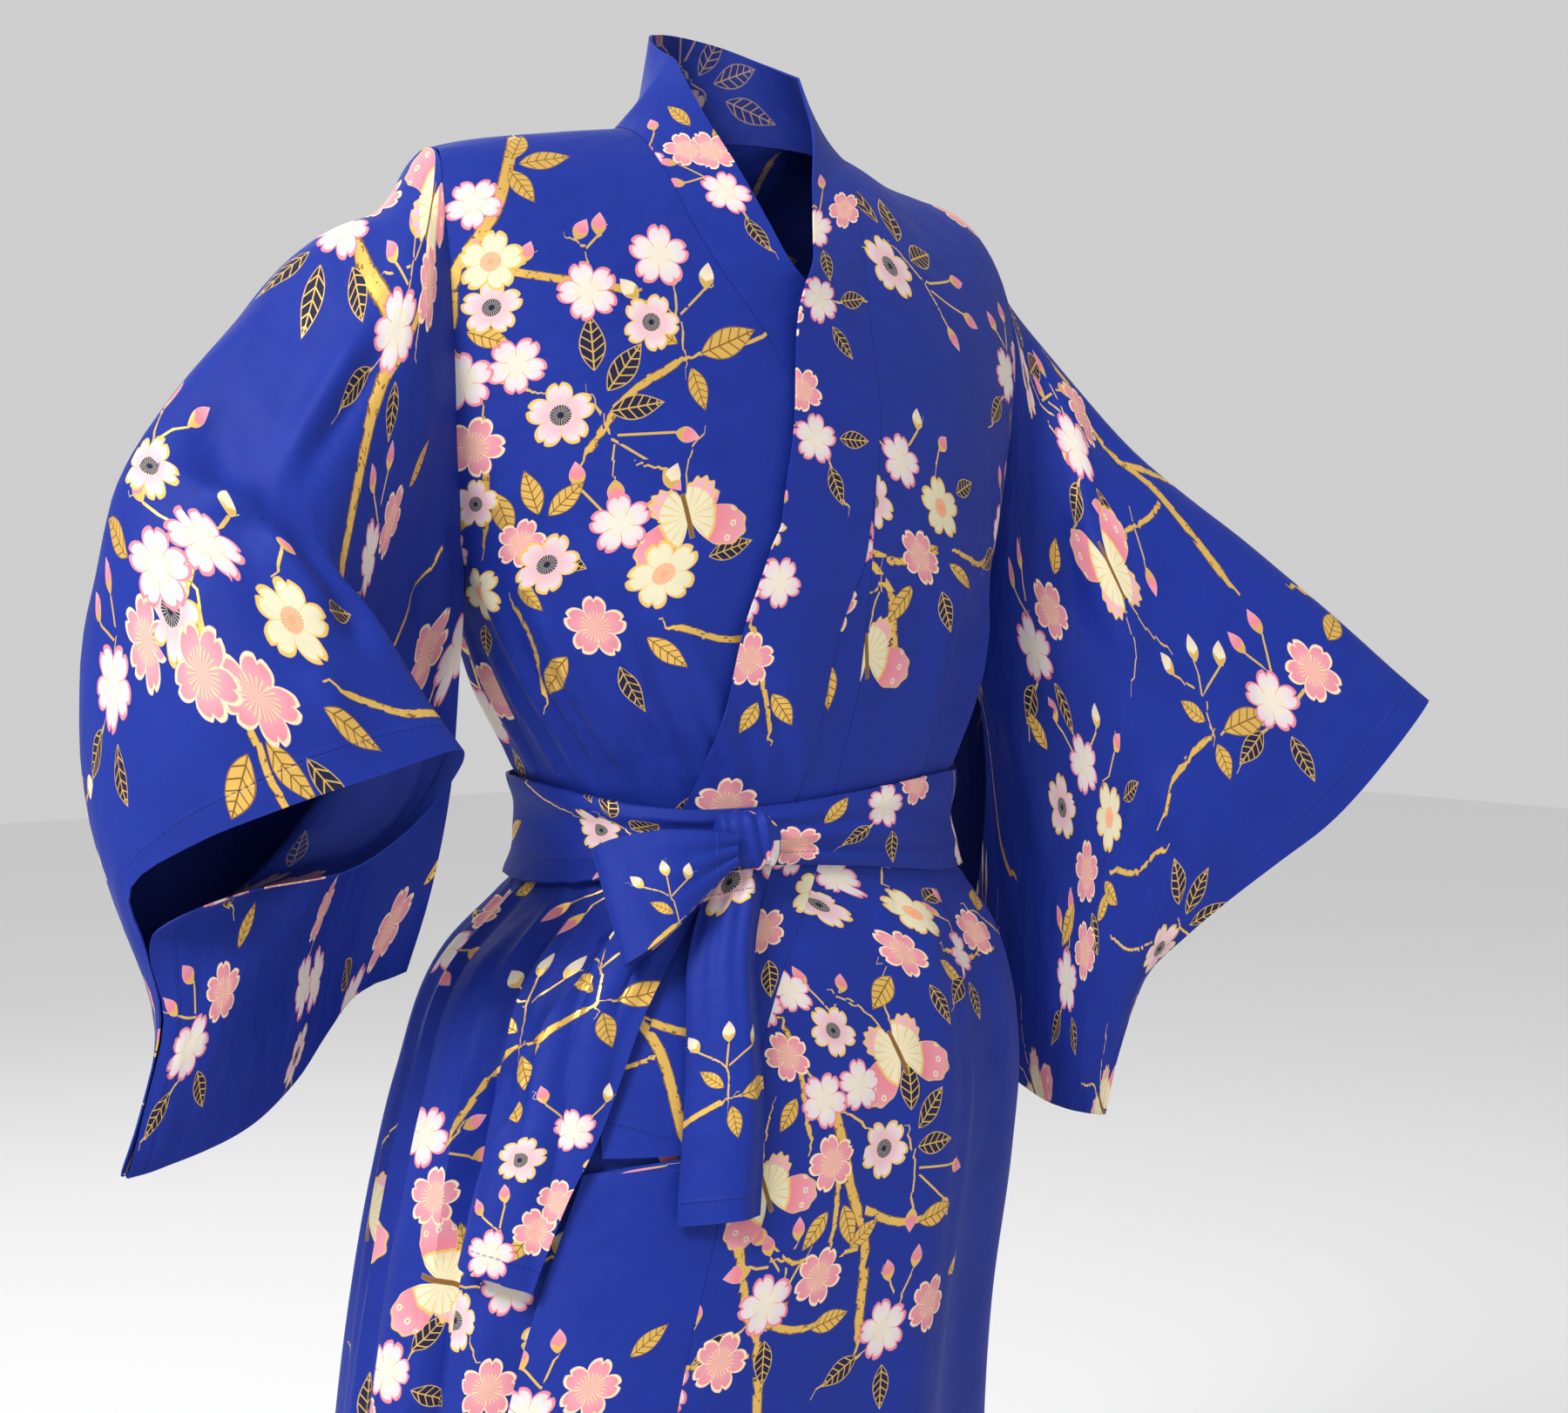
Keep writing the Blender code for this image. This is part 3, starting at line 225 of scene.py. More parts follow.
def smooth(low, high, at):
    """0 up to low, 1 from high on, and an even rise between them."""
    t = np.clip((np.asarray(at, float) - low) / (high - low), 0.0, 1.0)
    return t * t * (3 - 2 * t)


def column(table, name, at, key="height"):
    """A table's column as a smooth curve, at places in its key column."""
    return spline(table[key], table[name], at)


def section(level):
    """Half width, front and back depth and middle at a level: metres below the underarm, or the
    share of the rise to the ridge above it."""
    low = np.minimum(level, 0.0) + UNDERARM
    up = np.maximum(level, 0.0)
    below = np.asarray(level) <= 0
    half = np.where(below, column(SECTIONS, "half", low), column(CHEST, "half", up, "level"))
    middle = np.where(below, column(SECTIONS, "middle", low), column(CHEST, "middle", up, "level"))
    return half, column(SECTIONS, "front", low), column(SECTIONS, "back", low), middle


def gathered(table, way, angle, height):
    """The gathers above (way 1) or below (way -1) the sash, each fading out along its length."""
    names = ("angle", "lean", "reach", "half", "out")
    at, lean, reach, half, out = (np.array(table[name])[:, None] for name in names)
    turn = np.asarray(angle, float).ravel()
    away = (way * (height - SASH_HEIGHT) - GATHER_START).ravel()
    run = np.clip(away / reach / 1.3, 0.0, 1.0)
    beside = (turn - at - lean * run + 180.0) % 360.0 - 180.0
    wide = half * (1 + 0.9 * run)
    ridge = np.exp(-(beside / wide) ** 2 * 2.0) - 0.45 * np.exp(-(beside / wide / 2) ** 2 * 2.0)
    grow = smooth(0.0, 0.014, away) * (1 - smooth(0.35, 1.0, run))
    return GATHER_DEPTH * np.sum(out * ridge * grow, axis=0).reshape(np.shape(angle))


def fold_out(angle, height):
    """How far the pleats and drape folds stand out at an angle and height."""
    total = np.zeros(np.broadcast(angle, height).shape)
    for top, low, high, end, half, out in zip(*FOLDS.values()):
        along = np.clip((high - height) / (high - end), 0.0, 1.0)
        centre = top + (low - top) * along
        away = (np.asarray(angle) - centre + 180.0) % 360.0 - 180.0
        grow = smooth(high, high - FOLD_FADE, height)
        fade = smooth(end, end + FOLD_FADE, height)
        total = total + out * grow * fade * np.exp(-(away / half) ** 2 * 2.0)
    return total + gathered(GATHERS_UP, 1, angle, height) + gathered(GATHERS_DOWN, -1, angle, height)


def form(angle, level, out=0.0):
    """Point of the robe's base surface. The angle runs from the centre front to the left."""
    angle, level, out = np.broadcast_arrays(np.asarray(angle, float), np.asarray(level, float), out)
    half, front, back, middle = section(level)
    sine, cosine = np.sin(np.radians(angle)), np.cos(np.radians(angle))
    across = np.sign(sine) * np.abs(sine) ** ROUND
    along = np.abs(cosine) ** ROUND
    up = np.clip(level, 0.0, 1.0)
    side = middle + half * across
    drop = column(RIDGE, "drop", side, "side")
    lean = np.cos(up * math.pi / 2)
    nape = 1 - smooth(0.0, 0.086, np.abs(side))
    steep = np.where(cosine < 0, nape, 0.0)
    rise = np.sin(up * math.pi / 2) * (1 - steep) + up * steep
    behind = lean + (1 - lean) * nape * NECK_BACK
    height = np.where(level <= 0, UNDERARM + level, UNDERARM + (SHOULDER + RIDGE_TOP - drop) * rise)
    wave = fold_out(angle, height)
    scale = 1 + (wave + out) / BODY_DEEP
    deep = np.where(cosine >= 0, -front * along * lean, back * along * behind)
    return np.stack([middle + (side - middle) * scale, deep * scale, height], -1)


def unit(way):
    """The same directions with length 1."""
    return way / np.linalg.norm(way, axis=-1, keepdims=True)


def face_out(angle, level, out=0.0):
    """Direction square to the base surface, away from the body."""
    turn = form(np.asarray(angle) + 0.6, level, out) - form(np.asarray(angle) - 0.6, level, out)
    low = np.clip(np.asarray(level) - 0.012, None, 0.985)
    high = np.clip(np.asarray(level) + 0.012, None, 0.997)
    climb = form(angle, high, out) - form(angle, low, out)
    return unit(np.cross(turn, climb))


def layer_out(angle, outer):
    """The outer front lies off the base surface and the inner front within it, both fading to
    nothing before the side seams."""
    full = 1 - smooth(58.0, 80.0, np.abs(angle))
    return (LAYER if outer else -LAYER) * full


def side_angle(side, level):
    """Angle round the front at which the surface has this distance to the left of the middle."""
    half, _, _, middle = section(level)
    sine = np.clip((side - middle) / half, -1.0, 1.0)
    return np.degrees(np.arcsin(np.sign(sine) * np.abs(sine) ** (1 / ROUND)))


def neck_seam(level, left):
    """Angle of the neckband's seam on a front."""
    table = LEFT_NECK if left else RIGHT_NECK
    return side_angle(column(table, "side", level, "level"), level)


def gore_seam(height, left):
    """Angle of the seam between a front and its gore."""
    seam = column(GORE, "seam", height)
    return -seam if left else seam


def grid_normals(points, ring=False):
    """Directions square to a surface of rows and columns, each from the cells round the point."""
    after = np.roll(points, -1, axis=1)
    cells = np.cross(after[1:] - points[:-1], points[1:] - after[:-1])
    total = np.zeros_like(points)
    total[:-1] += cells
    total[1:] += cells
    if ring:
        total = total + np.roll(total, 1, axis=1)
    else:
        total[:, -1] = 0
        total[:, 1:] += total[:, :-1].copy()
    return total / np.maximum(np.linalg.norm(total, axis=-1, keepdims=True), 1e-15)


def outward(normals, way):
    """The same directions, all turned round if they point against the way."""
    return -normals if np.sum(normals * way) < 0 else normals


# The print's motifs, charted in centimetres from the middle of each sprig. Blooms: place, width, kind
# (0 cream, 1 white edged with pink, 2 dark-eyed, 3 rose) and turn. Leaves: foot, direction, length, kind
# (0 gold, 1 dark with gold veins, 2 rose bud, 3 white bud). Wood: width and the points it runs through.
SPRIGS = dict(
    bough=dict(
        blooms=((-3.4, -0.6, 4.2, 0, 10), (2.4, -2.6, 4.0, 1, 40), (6.3, -4.4, 3.8, 2, 70),
                (6.9, -0.2, 4.2, 1, 15), (-4.4, 3.4, 3.8, 1, 50)),
        leaves=((-6.0, -5.4, 205, 3.6, 0), (-5.2, -6.2, 290, 3.4, 0), (-4.6, -5.0, 340, 3.0, 0),
                (-1.6, 6.0, 10, 3.6, 0), (-2.0, 6.4, 70, 3.2, 0), (-2.2, 5.6, 300, 3.0, 0),
                (1.6, 0.6, 60, 1.6, 2), (3.0, 0.9, 80, 1.6, 2)),
        wood=((0.9, (-7.2, -9.0), (-5.6, -5.0), (-5.4, -1.0), (-3.0, 3.0), (-1.6, 9.0)),
              (0.6, (-5.2, -0.5), (-1.0, -1.6), (4.6, -2.4))),
        stems=((0.16, (2.4, -1.0), (2.2, 0.0), (1.6, 0.6)), (0.16, (2.2, 0.0), (3.0, 0.9))),
    ),
    string=dict(
        blooms=((-0.4, -3.9, 4.0, 3, 5), (-1.5, 0.2, 4.0, 1, 30), (1.5, 1.2, 3.8, 1, 60),
                (-0.2, 4.9, 3.8, 2, 20)),
        leaves=((1.2, -6.6, 300, 3.2, 0), (0.0, -7.0, 240, 3.0, 0), (1.4, 7.6, 70, 1.5, 2),
                (-1.2, 8.0, 100, 1.5, 2)),
        wood=((0.5, (1.0, -9.5), (0.6, -6.0), (0.0, -2.0)),),
        stems=((0.16, (0.0, 6.2), (1.4, 7.6)), (0.16, (0.0, 6.2), (-1.2, 8.0))),
    ),
    spray=dict(
        blooms=((-1.8, 0.4, 4.2, 2, 25),),
        leaves=((1.0, 0.6, 10, 3.4, 1), (0.8, 1.8, 55, 3.6, 1), (0.0, 3.0, 95, 3.6, 1),
                (1.6, -3.4, 280, 1.7, 2), (4.4, -2.8, 315, 1.7, 2), (5.0, -0.6, 350, 1.6, 2)),
        wood=(),
        stems=((0.18, (0.2, 1.0), (1.2, -1.0), (1.6, -3.4)), (0.16, (1.2, -1.0), (4.4, -2.8)),
               (0.16, (1.6, -0.8), (5.0, -0.6)), (0.2, (-3.8, 2.0), (-6.5, 3.2), (-8.5, 5.2))),
    ),
    twig=dict(
        blooms=(),
        leaves=((0.4, -0.6, 290, 2.8, 0), (1.0, 0.2, 20, 4.2, 0), (-0.4, 0.8, 150, 2.6, 0),
                (-2.8, 3.6, 130, 1.7, 3), (-0.4, 4.4, 95, 1.7, 3), (1.6, 4.2, 75, 1.7, 3)),
        wood=((0.55, (-5.6, -5.6), (-3.6, -2.4), (-0.6, -0.4)),),
        stems=((0.16, (0.0, 0.0), (-0.4, 2.4), (-2.8, 3.6)), (0.16, (-0.4, 2.4), (-0.4, 4.4)),
               (0.16, (-0.4, 2.4), (1.6, 4.2)), (0.25, (1.0, 0.2), (5.4, 1.2), (7.6, 3.4))),
    ),
    posy=dict(
        blooms=((-0.6, -2.6, 4.0, 3, 15), (3.2, 0.6, 4.4, 0, 45), (-3.8, 1.2, 4.0, 2, 5),
                (0.0, 3.6, 3.8, 1, 30)),
        leaves=((-2.6, -4.4, 225, 3.6, 0), (0.4, -5.0, 290, 3.2, 1), (2.4, -3.2, 320, 3.0, 0),
                (5.6, 1.6, 20, 2.8, 1), (-4.8, 4.2, 110, 3.0, 0), (2.6, 5.6, 70, 1.6, 3),
                (-2.6, 5.8, 100, 1.6, 2), (4.6, 4.4, 40, 1.6, 2)),
        wood=((0.5, (4.4, -2.6), (7.6, -3.4), (11.0, -2.6)),),
        stems=((0.16, (1.0, 4.4), (2.6, 5.6)), (0.16, (-1.2, 4.4), (-2.6, 5.8)),
               (0.16, (3.4, 3.0), (4.6, 4.4))),
    ),
    limb=dict(
        blooms=((-3.4, 9.2, 4.4, 1, 20), (0.4, 11.0, 4.2, 3, 50)),
        leaves=((-5.4, 7.4, 250, 3.8, 1), (-6.0, 8.6, 190, 4.0, 1), (-3.0, 6.6, 290, 3.2, 1),
                (-6.6, 12.0, 140, 3.4, 0), (-1.4, 13.6, 100, 1.6, 2)),
        wood=((1.1, (-8.6, -10.4), (-5.6, -8.0), (-2.4, -4.6), (-0.4, -0.4), (0.4, 3.0), (-1.8, 6.0),
               (-2.8, 8.0)),
              (0.6, (-0.2, 0.6), (2.4, 3.2), (4.6, 7.0)), (0.4, (-6.2, -8.4), (-8.2, -8.0))),
        stems=(),
    ),
    fork=dict(
        blooms=(),
        leaves=((-7.0, -1.4, 200, 1.8, 2), (-6.4, 0.2, 160, 1.7, 2), (-4.4, -3.2, 260, 1.7, 2),
                (4.8, 1.4, 20, 3.2, 0)),
        wood=((0.8, (-3.4, 8.0), (-1.2, 3.4), (1.0, 0.2), (2.4, -4.8)),
              (0.6, (-0.6, 2.4), (3.0, 1.4), (6.2, 1.8)),
              (0.35, (1.0, 0.0), (-1.6, -0.8), (-4.4, -1.0))),
        stems=((0.18, (-4.4, -1.0), (-7.0, -1.4)), (0.16, (-4.4, -1.0), (-6.4, 0.2)),
               (0.16, (-3.6, -0.8), (-4.4, -3.2))),
    ),
    pair=dict(
        blooms=((-1.8, -0.8, 4.2, 1, 10), (1.8, 1.0, 4.0, 3, 40)),
        leaves=((-3.4, -2.6, 220, 3.2, 1), (-1.0, -3.0, 285, 3.0, 1), (3.8, 2.8, 45, 2.8, 0),
                (-2.6, 2.2, 120, 1.6, 2), (-0.8, 3.2, 100, 1.6, 2)),
        wood=(),
        stems=((0.2, (-5.6, -4.6), (-3.0, -2.4)), (0.16, (-1.2, 1.0), (-0.8, 3.2)),
               (0.16, (-1.2, 1.0), (-2.6, 2.2))),
    ),
    butterfly=dict(
        blooms=(), leaves=(), wood=(),
        stems=((0.16, (0.3, 1.4), (1.0, 3.6), (2.4, 5.0)), (0.16, (-0.3, 1.4), (-1.0, 3.6), (-2.4, 5.0))),
        wings=((0.0, 0.0, 9.0),),
    ),
)
MOTIF_EDGE = 0.010        # how far past a motif its cells reach
BLOOM_GAP = 0.002         # least gap between two blooms of one layer
NO_MOTIF = 9.0            # place on a motif where there is none


def turned(x, y, degrees):
    """A place turned round the middle."""
    angle = math.radians(degrees)
    return x * math.cos(angle) - y * math.sin(angle), x * math.sin(angle) + y * math.cos(angle)


def motifs_of(spots):
    """The motifs of all sprigs on a panel, in metres on its cloth."""
    layers = dict(bloom=[], flower=[], leaf=[], leaflet=[], bud=[], wood=[], stem=[], wing=[])
    for sprig, across, along, turn, size in spots:
        chart = SPRIGS[sprig]
        scale, mirror = 0.01 * abs(size), math.copysign(1.0, size)

        def put(x, y):
            x, y = turned(mirror * x * scale, y * scale, turn)
            return across + x, along + y

        for x, y, width, kind, angle in chart["blooms"]:
            spot = (*put(x, y), width * scale / 2, turn + mirror * angle, kind)
            free = all(math.hypot(spot[0] - a[0], spot[1] - a[1]) > spot[2] + a[2] + BLOOM_GAP
                       for a in layers["bloom"])
            layers["bloom" if free else "flower"].append(spot)
        for x, y, direction, length, kind in chart["leaves"]:
            foot = put(x, y)
            direction = turn + (direction if mirror > 0 else 180 - direction)
            way = turned(length * scale, 0.0, direction)
            spot = (foot[0] + way[0] / 2, foot[1] + way[1] / 2, length * scale / 2, direction, kind)
            for layer in ("leaf", "leaflet", "bud"):
                if all(math.hypot(spot[0] - a[0], spot[1] - a[1]) > spot[2] + a[2] for a in layers[layer]):
                    break
            layers[layer].append(spot)
        for x, y, width in chart.get("wings", ()):
            layers["wing"].append((*put(x, y), width * scale / 2, turn, 0))
        for layer, lines in (("wood", chart["wood"]), ("stem", chart["stems"])):
            for line in lines:
                path = np.array([put(x, y) for x, y in line[1:]])
                if len(path) > 2:
                    places = np.linspace(0, len(path) - 1, 4 * len(path) - 3)
                    path = spline(np.arange(len(path)), path, places)
                for start, end in zip(path[:-1], path[1:]):
                    layers[layer].append((*start, *end, line[0] * scale / 2))
    return layers


def put_on(mesh, layer, values):
    """Keeps three values for every corner of the mesh."""
    row = mesh.attributes.new(layer, "FLOAT_VECTOR", "CORNER")
    row.data.foreach_set("vector", values.astype(np.float32).ravel())


def print_on(mesh, flat, spots, one_hem):
    """Gives every corner of the mesh its place on the cloth, and in each layer of the print its place on
    the motif that its face lies on: across, along and the motif's kind, or far away where there is none."""
    middles = flat.mean(axis=1)
    low, high = flat[..., 1].min(), flat[..., 1].max()
    edge = np.minimum(high - flat[..., 1], NO_MOTIF if one_hem else flat[..., 1] - low)
    cloth = np.concatenate([flat, edge[..., None]], -1)
    put_on(mesh, "cloth", cloth)
    for layer, motifs in motifs_of(spots).items():
        local = np.full((*flat.shape[:2], 3), NO_MOTIF)
        local[..., 2] = 0.0
        best = np.full(len(flat), MOTIF_EDGE)
        for motif in motifs:
            if layer in ("wood", "stem"):
                start, end, half = np.array(motif[:2]), np.array(motif[2:4]), motif[4]
                length = np.linalg.norm(end - start)
                way = (end - start) / length
                side = np.array((-way[1], way[0]))
                run = np.clip((middles - start) @ way, 0.0, length)
                away = np.linalg.norm(middles - start - run[:, None] * way, axis=1) - half
                near = away < best
                at = flat[near] - start
                beyond = at @ way - np.clip(at @ way, 0.0, length)
                sheer = at @ side
                reach = np.hypot(beyond, sheer) / half
                local[near] = np.stack([at @ way + start[0] * 7, np.copysign(reach, sheer),
                                        np.full_like(reach, half)], -1)
            else:
                centre, half, turn, kind = np.array(motif[:2]), motif[2], math.radians(motif[3]), motif[4]
                away = np.linalg.norm(middles - centre, axis=1) - half
                near = away < best
                at = (flat[near] - centre) / half
                local[near] = np.stack([at[..., 0] * math.cos(turn) + at[..., 1] * math.sin(turn),
                                        at[..., 1] * math.cos(turn) - at[..., 0] * math.sin(turn),
                                        np.full(at.shape[:2], float(kind))], -1)
            best[near] = away[near]
        put_on(mesh, layer, local)


# The sprigs that the photo shows on each panel. Their places were read in the photo's pixels, from
# its left and its top; turn is in degrees against the upright.
PRINT = dict(
    body_right=dict(
        sprig=("bough", "string", "spray", "twig", "butterfly", "posy", "posy", "twig", "pair", "pair",
               "butterfly", "posy", "pair"),
        x=(640, 552, 690, 800, 800, 705, 545, 587, 530, 478, 500, 580, 428),
        y=(285, 455, 490, 400, 594, 680, 640, 1195, 1065, 1340, 1455, 1545, 1600),
        turn=(0, 0, 0, 0, 20, 0, 0, 0, 0, 0, -20, 0, 0),
        size=(1.0, 1.0, 1.0, 1.0, 0.85, 1.0, 0.8, 0.9, 0.9, 0.9, 0.9, 0.9, 0.9),
    ),
    sleeve_right=dict(
        sprig=("limb", "butterfly", "pair", "string", "posy", "pair", "pair", "pair", "string", "pair"),
        x=(440, 505, 490, 215, 275, 150, 450, 425, 365, 255),
        y=(470, 240, 350, 640, 720, 765, 625, 1110, 1110, 1180),
        turn=(0, 150, 0, 0, 0, 0, 0, 0, 30, 40),
        size=(1.0, 0.9, 0.9, 0.9, 0.9, 0.9, 0.9, 0.9, 0.8, 0.9),
    ),
    body_left=dict(
        sprig=("posy", "fork", "butterfly", "spray", "posy", "pair", "butterfly", "string", "spray",
               "fork", "pair", "string", "butterfly", "pair", "fork", "pair"),
        x=(1060, 1010, 1006, 1055, 1030, 1118, 1044, 978, 1055, 990, 1050, 905, 894, 925, 858, 794),
        y=(590, 665, 756, 310, 1060, 1075, 1211, 1260, 1330, 1420, 1510, 1155, 1370, 1490, 1550, 1570),
        turn=(0, 0, 15, 0, 0, 0, 20, 0, 0, 0, 0, 0, 30, 0, 0, 0),
        size=(0.9, 0.9, 0.9, 1.0, 0.9, 0.9, 0.9, 0.9, 0.9, 1.0, 0.9, 0.8, 0.8, 0.9, 0.9, 0.9),
    ),
    collar=dict(
        sprig=("pair", "pair", "string", "pair", "pair", "pair", "fork"),
        x=(912, 940, 880, 965, 769, 837, 750),
        y=(350, 480, 690, 250, 169, 190, 1200),
        turn=(30, 0, 0, 0, 0, 60, 0),
        size=(0.8, 0.8, 0.8, 0.9, 0.8, 0.8, 0.9),
    ),
    sleeve_left=dict(
        sprig=("spray", "pair", "butterfly", "pair", "posy", "pair", "twig", "pair", "fork"),
        x=(1200, 1244, 1287, 1181, 1240, 1225, 1400, 1500, 1330),
        y=(440, 481, 656, 719, 945, 1095, 850, 800, 560),
        turn=(0, 0, 195, 0, 0, 0, 0, 0, 0),
        size=(0.9, 0.9, 0.9, 0.9, 0.9, 0.9, 0.9, 0.9, 0.9),
    ),
    okumi_left=dict(sprig=("posy", "pair"), x=(905, 640), y=(1030, 1600), turn=(0, 0), size=(0.8, 0.9)),
    sash=dict(sprig=("pair", "spray"), x=(1045, 700), y=(920, 960), turn=(0, 0), size=(0.8, 0.7)),
    belt_loop=dict(sprig=("twig",), x=(787,), y=(1050,), turn=(0,), size=(0.6,)),
    belt_tail_side=dict(sprig=("twig", "posy", "pair"), x=(675, 640, 585), y=(1145, 1340, 1420),
                        turn=(0, 0, 0), size=(0.9, 0.7, 0.7)),
    belt_tail_long=dict(sprig=("twig",), x=(835,), y=(1250,), turn=(0,), size=(0.7,)),
)
# How far each sprig reaches from its middle, in metres. Free cloth is filled with these at random.
REACH = dict(bough=0.100, string=0.080, spray=0.075, twig=0.070, posy=0.095, limb=0.115, fork=0.085,
             pair=0.060, butterfly=0.065)
FREE_SHARE = 0.92         # how near to each other the sprigs of the free cloth come
NARROW = 0.12             # width below which a panel takes small sprigs only
NEAR_SIGHT = 12           # how far from the photo's place, in its pixels, the nearest cloth is looked for
PATCH = 45                # and how far out the cloth's own directions are taken from
PATCH_DEEP = 0.06         # the same in depth, in metres
HIDDEN = 1000             # added to the distance of cloth that faces away
FAR_OFF = 9.0             # a depth behind all cloth
FOCUS = 2880              # the lens's length in the photo's pixels
MIDDLE_X = 830            # where the line of sight lies in the photo, from its left
MIDDLE_Y = 660            # and from its top
chance = np.random.default_rng(5)


def seen(spot):
    """Where the camera sees a point, in the photo's pixels, and how far off it is."""
    depth = CAMERA_AWAY + spot @ sight
    across = spot @ np.array((sight[1], -sight[0], 0.0))
    below = MIDDLE_Y - FOCUS * (spot[:, 2] - CAMERA_HEIGHT) / depth
    return MIDDLE_X + FOCUS * across / depth, below, depth


def place_sprigs(name, spot, out, flat):
    """The panel's sprigs as rows of name, metres across and along its cloth, turn and size, which is
    below 0 for a mirrored sprig. First the ones in the photo, then the ones that fill the free cloth."""
    rows = []
    x, y, depth = seen(spot)
    facing = out @ sight < 0
    columns = ("sprig", "x", "y", "turn", "size")
    table = PRINT.get(name, {})
    for sprig, at_x, at_y, turn, size in zip(*(table.get(key, ()) for key in columns)):
        away = np.hypot(x - at_x, y - at_y) + np.where(facing, 0, HIDDEN)
        near = away < away.min() + NEAR_SIGHT
        middle = np.argmin(np.where(near, depth, FAR_OFF))
        patch = (away < away.min() + PATCH) & (np.abs(depth - depth[middle]) < PATCH_DEEP)
        slope = np.stack([x[patch], -y[patch], np.ones(patch.sum())], -1)
        right, upward = np.linalg.lstsq(slope, flat[patch], rcond=None)[0][:2]
        mirror = 1 if right[0] * upward[1] > right[1] * upward[0] else -1
        lie = math.degrees(math.atan2(mirror * right[1], mirror * right[0]))
        rows.append((sprig, *flat[middle], lie + mirror * turn, size * mirror))
    mirror = 1 if sum(row[4] for row in rows) >= 0 else -1
    small = min(np.ptp(flat[:, 0]), np.ptp(flat[:, 1])) < NARROW
    kinds = ("pair", "string", "spray") if small else tuple(REACH)
    for _ in range(3000 if name.startswith(("body", "sleeve", "okumi")) else 300):
        spot_at = flat[chance.integers(len(flat))]
        kind = kinds[chance.integers(len(kinds))]
        turn = chance.integers(-2, 4) * 15.0
        room = all(math.hypot(spot_at[0] - row[1], spot_at[1] - row[2])
                   > FREE_SHARE * (REACH[row[0]] * abs(row[4]) + REACH[kind]) for row in rows)
        if room:
            rows.append((kind, *spot_at, turn + (180 if mirror < 0 else 0), mirror))
    return rows


class Wire:
    """A socket in a material's tree. Sums and products of wires add Math nodes."""

    def __init__(self, tree, socket):
        self.tree = tree
        self.socket = socket

    def make(self, kind, settings, inputs, out=0):
        """A node of a kind: its settings come first, then the values or links of its sockets."""
        node = self.tree.nodes.new(kind)
        for key, value in settings.items():
            setattr(node, key, value)
        for key, value in inputs.items():
            if isinstance(value, Wire):
                self.tree.links.new(value.socket, node.inputs[key])
            else:
                node.inputs[key].default_value = value
        return Wire(self.tree, node.outputs[out])

    def math(self, operation, *others, clamp=False):
        return self.make("ShaderNodeMath", {"operation": operation, "use_clamp": clamp},
                         dict(enumerate((self, *others))))

    def __add__(self, other):
        return self.math("ADD", other)

    def __sub__(self, other):
        return self.math("SUBTRACT", other)

    def __mul__(self, other):
        return self.math("MULTIPLY", other)

    def __truediv__(self, other):
        return self.math("DIVIDE", other)

    def __pow__(self, other):
        return self.math("POWER", other)

    def __rsub__(self, other):
        return self.make("ShaderNodeMath", {"operation": "SUBTRACT"}, {0: other, 1: self})

    __radd__ = __add__
    __rmul__ = __mul__

    def abs(self):
        return self.math("ABSOLUTE")

    def sharp(self, soft):
        """1 where the value is over 0, rising over a width of soft."""
        return self.math("DIVIDE", soft, clamp=True)

    def either(self, other):
        """The larger of two masks."""
        return self.math("MAXIMUM", other)

    def equals(self, number):
        """1 where the value is this number, or within 0.4 of it."""
        return self.make("ShaderNodeMath", {"operation": "COMPARE"}, {0: self, 1: number, 2: 0.4})

    def mix(self, under, over):
        """The under colour where this is 0 and the over colour where it is 1."""
        return self.make("ShaderNodeMix", {"data_type": "RGBA"}, {0: self, 6: under, 7: over}, 2)

    def parts(self):
        """The three values of a vector."""
        return [self.make("ShaderNodeSeparateXYZ", {}, {0: self}, place) for place in range(3)]


GOLD = (0.74, 0.46, 0.11, 1.0)
DARK_GOLD = (0.20, 0.095, 0.018, 1.0)
CREAM = (0.70, 0.64, 0.44, 1.0)
WHITE = (0.69, 0.65, 0.65, 1.0)
ROSE = (0.70, 0.21, 0.26, 1.0)
BLUSH = (0.72, 0.38, 0.43, 1.0)
SALMON = (0.84, 0.33, 0.17, 1.0)
NAVY = (0.008, 0.008, 0.045, 1.0)
BLUE = (0.006, 0.028, 0.300, 1.0)
DEEP_BLUE = (0.004, 0.018, 0.215, 1.0)


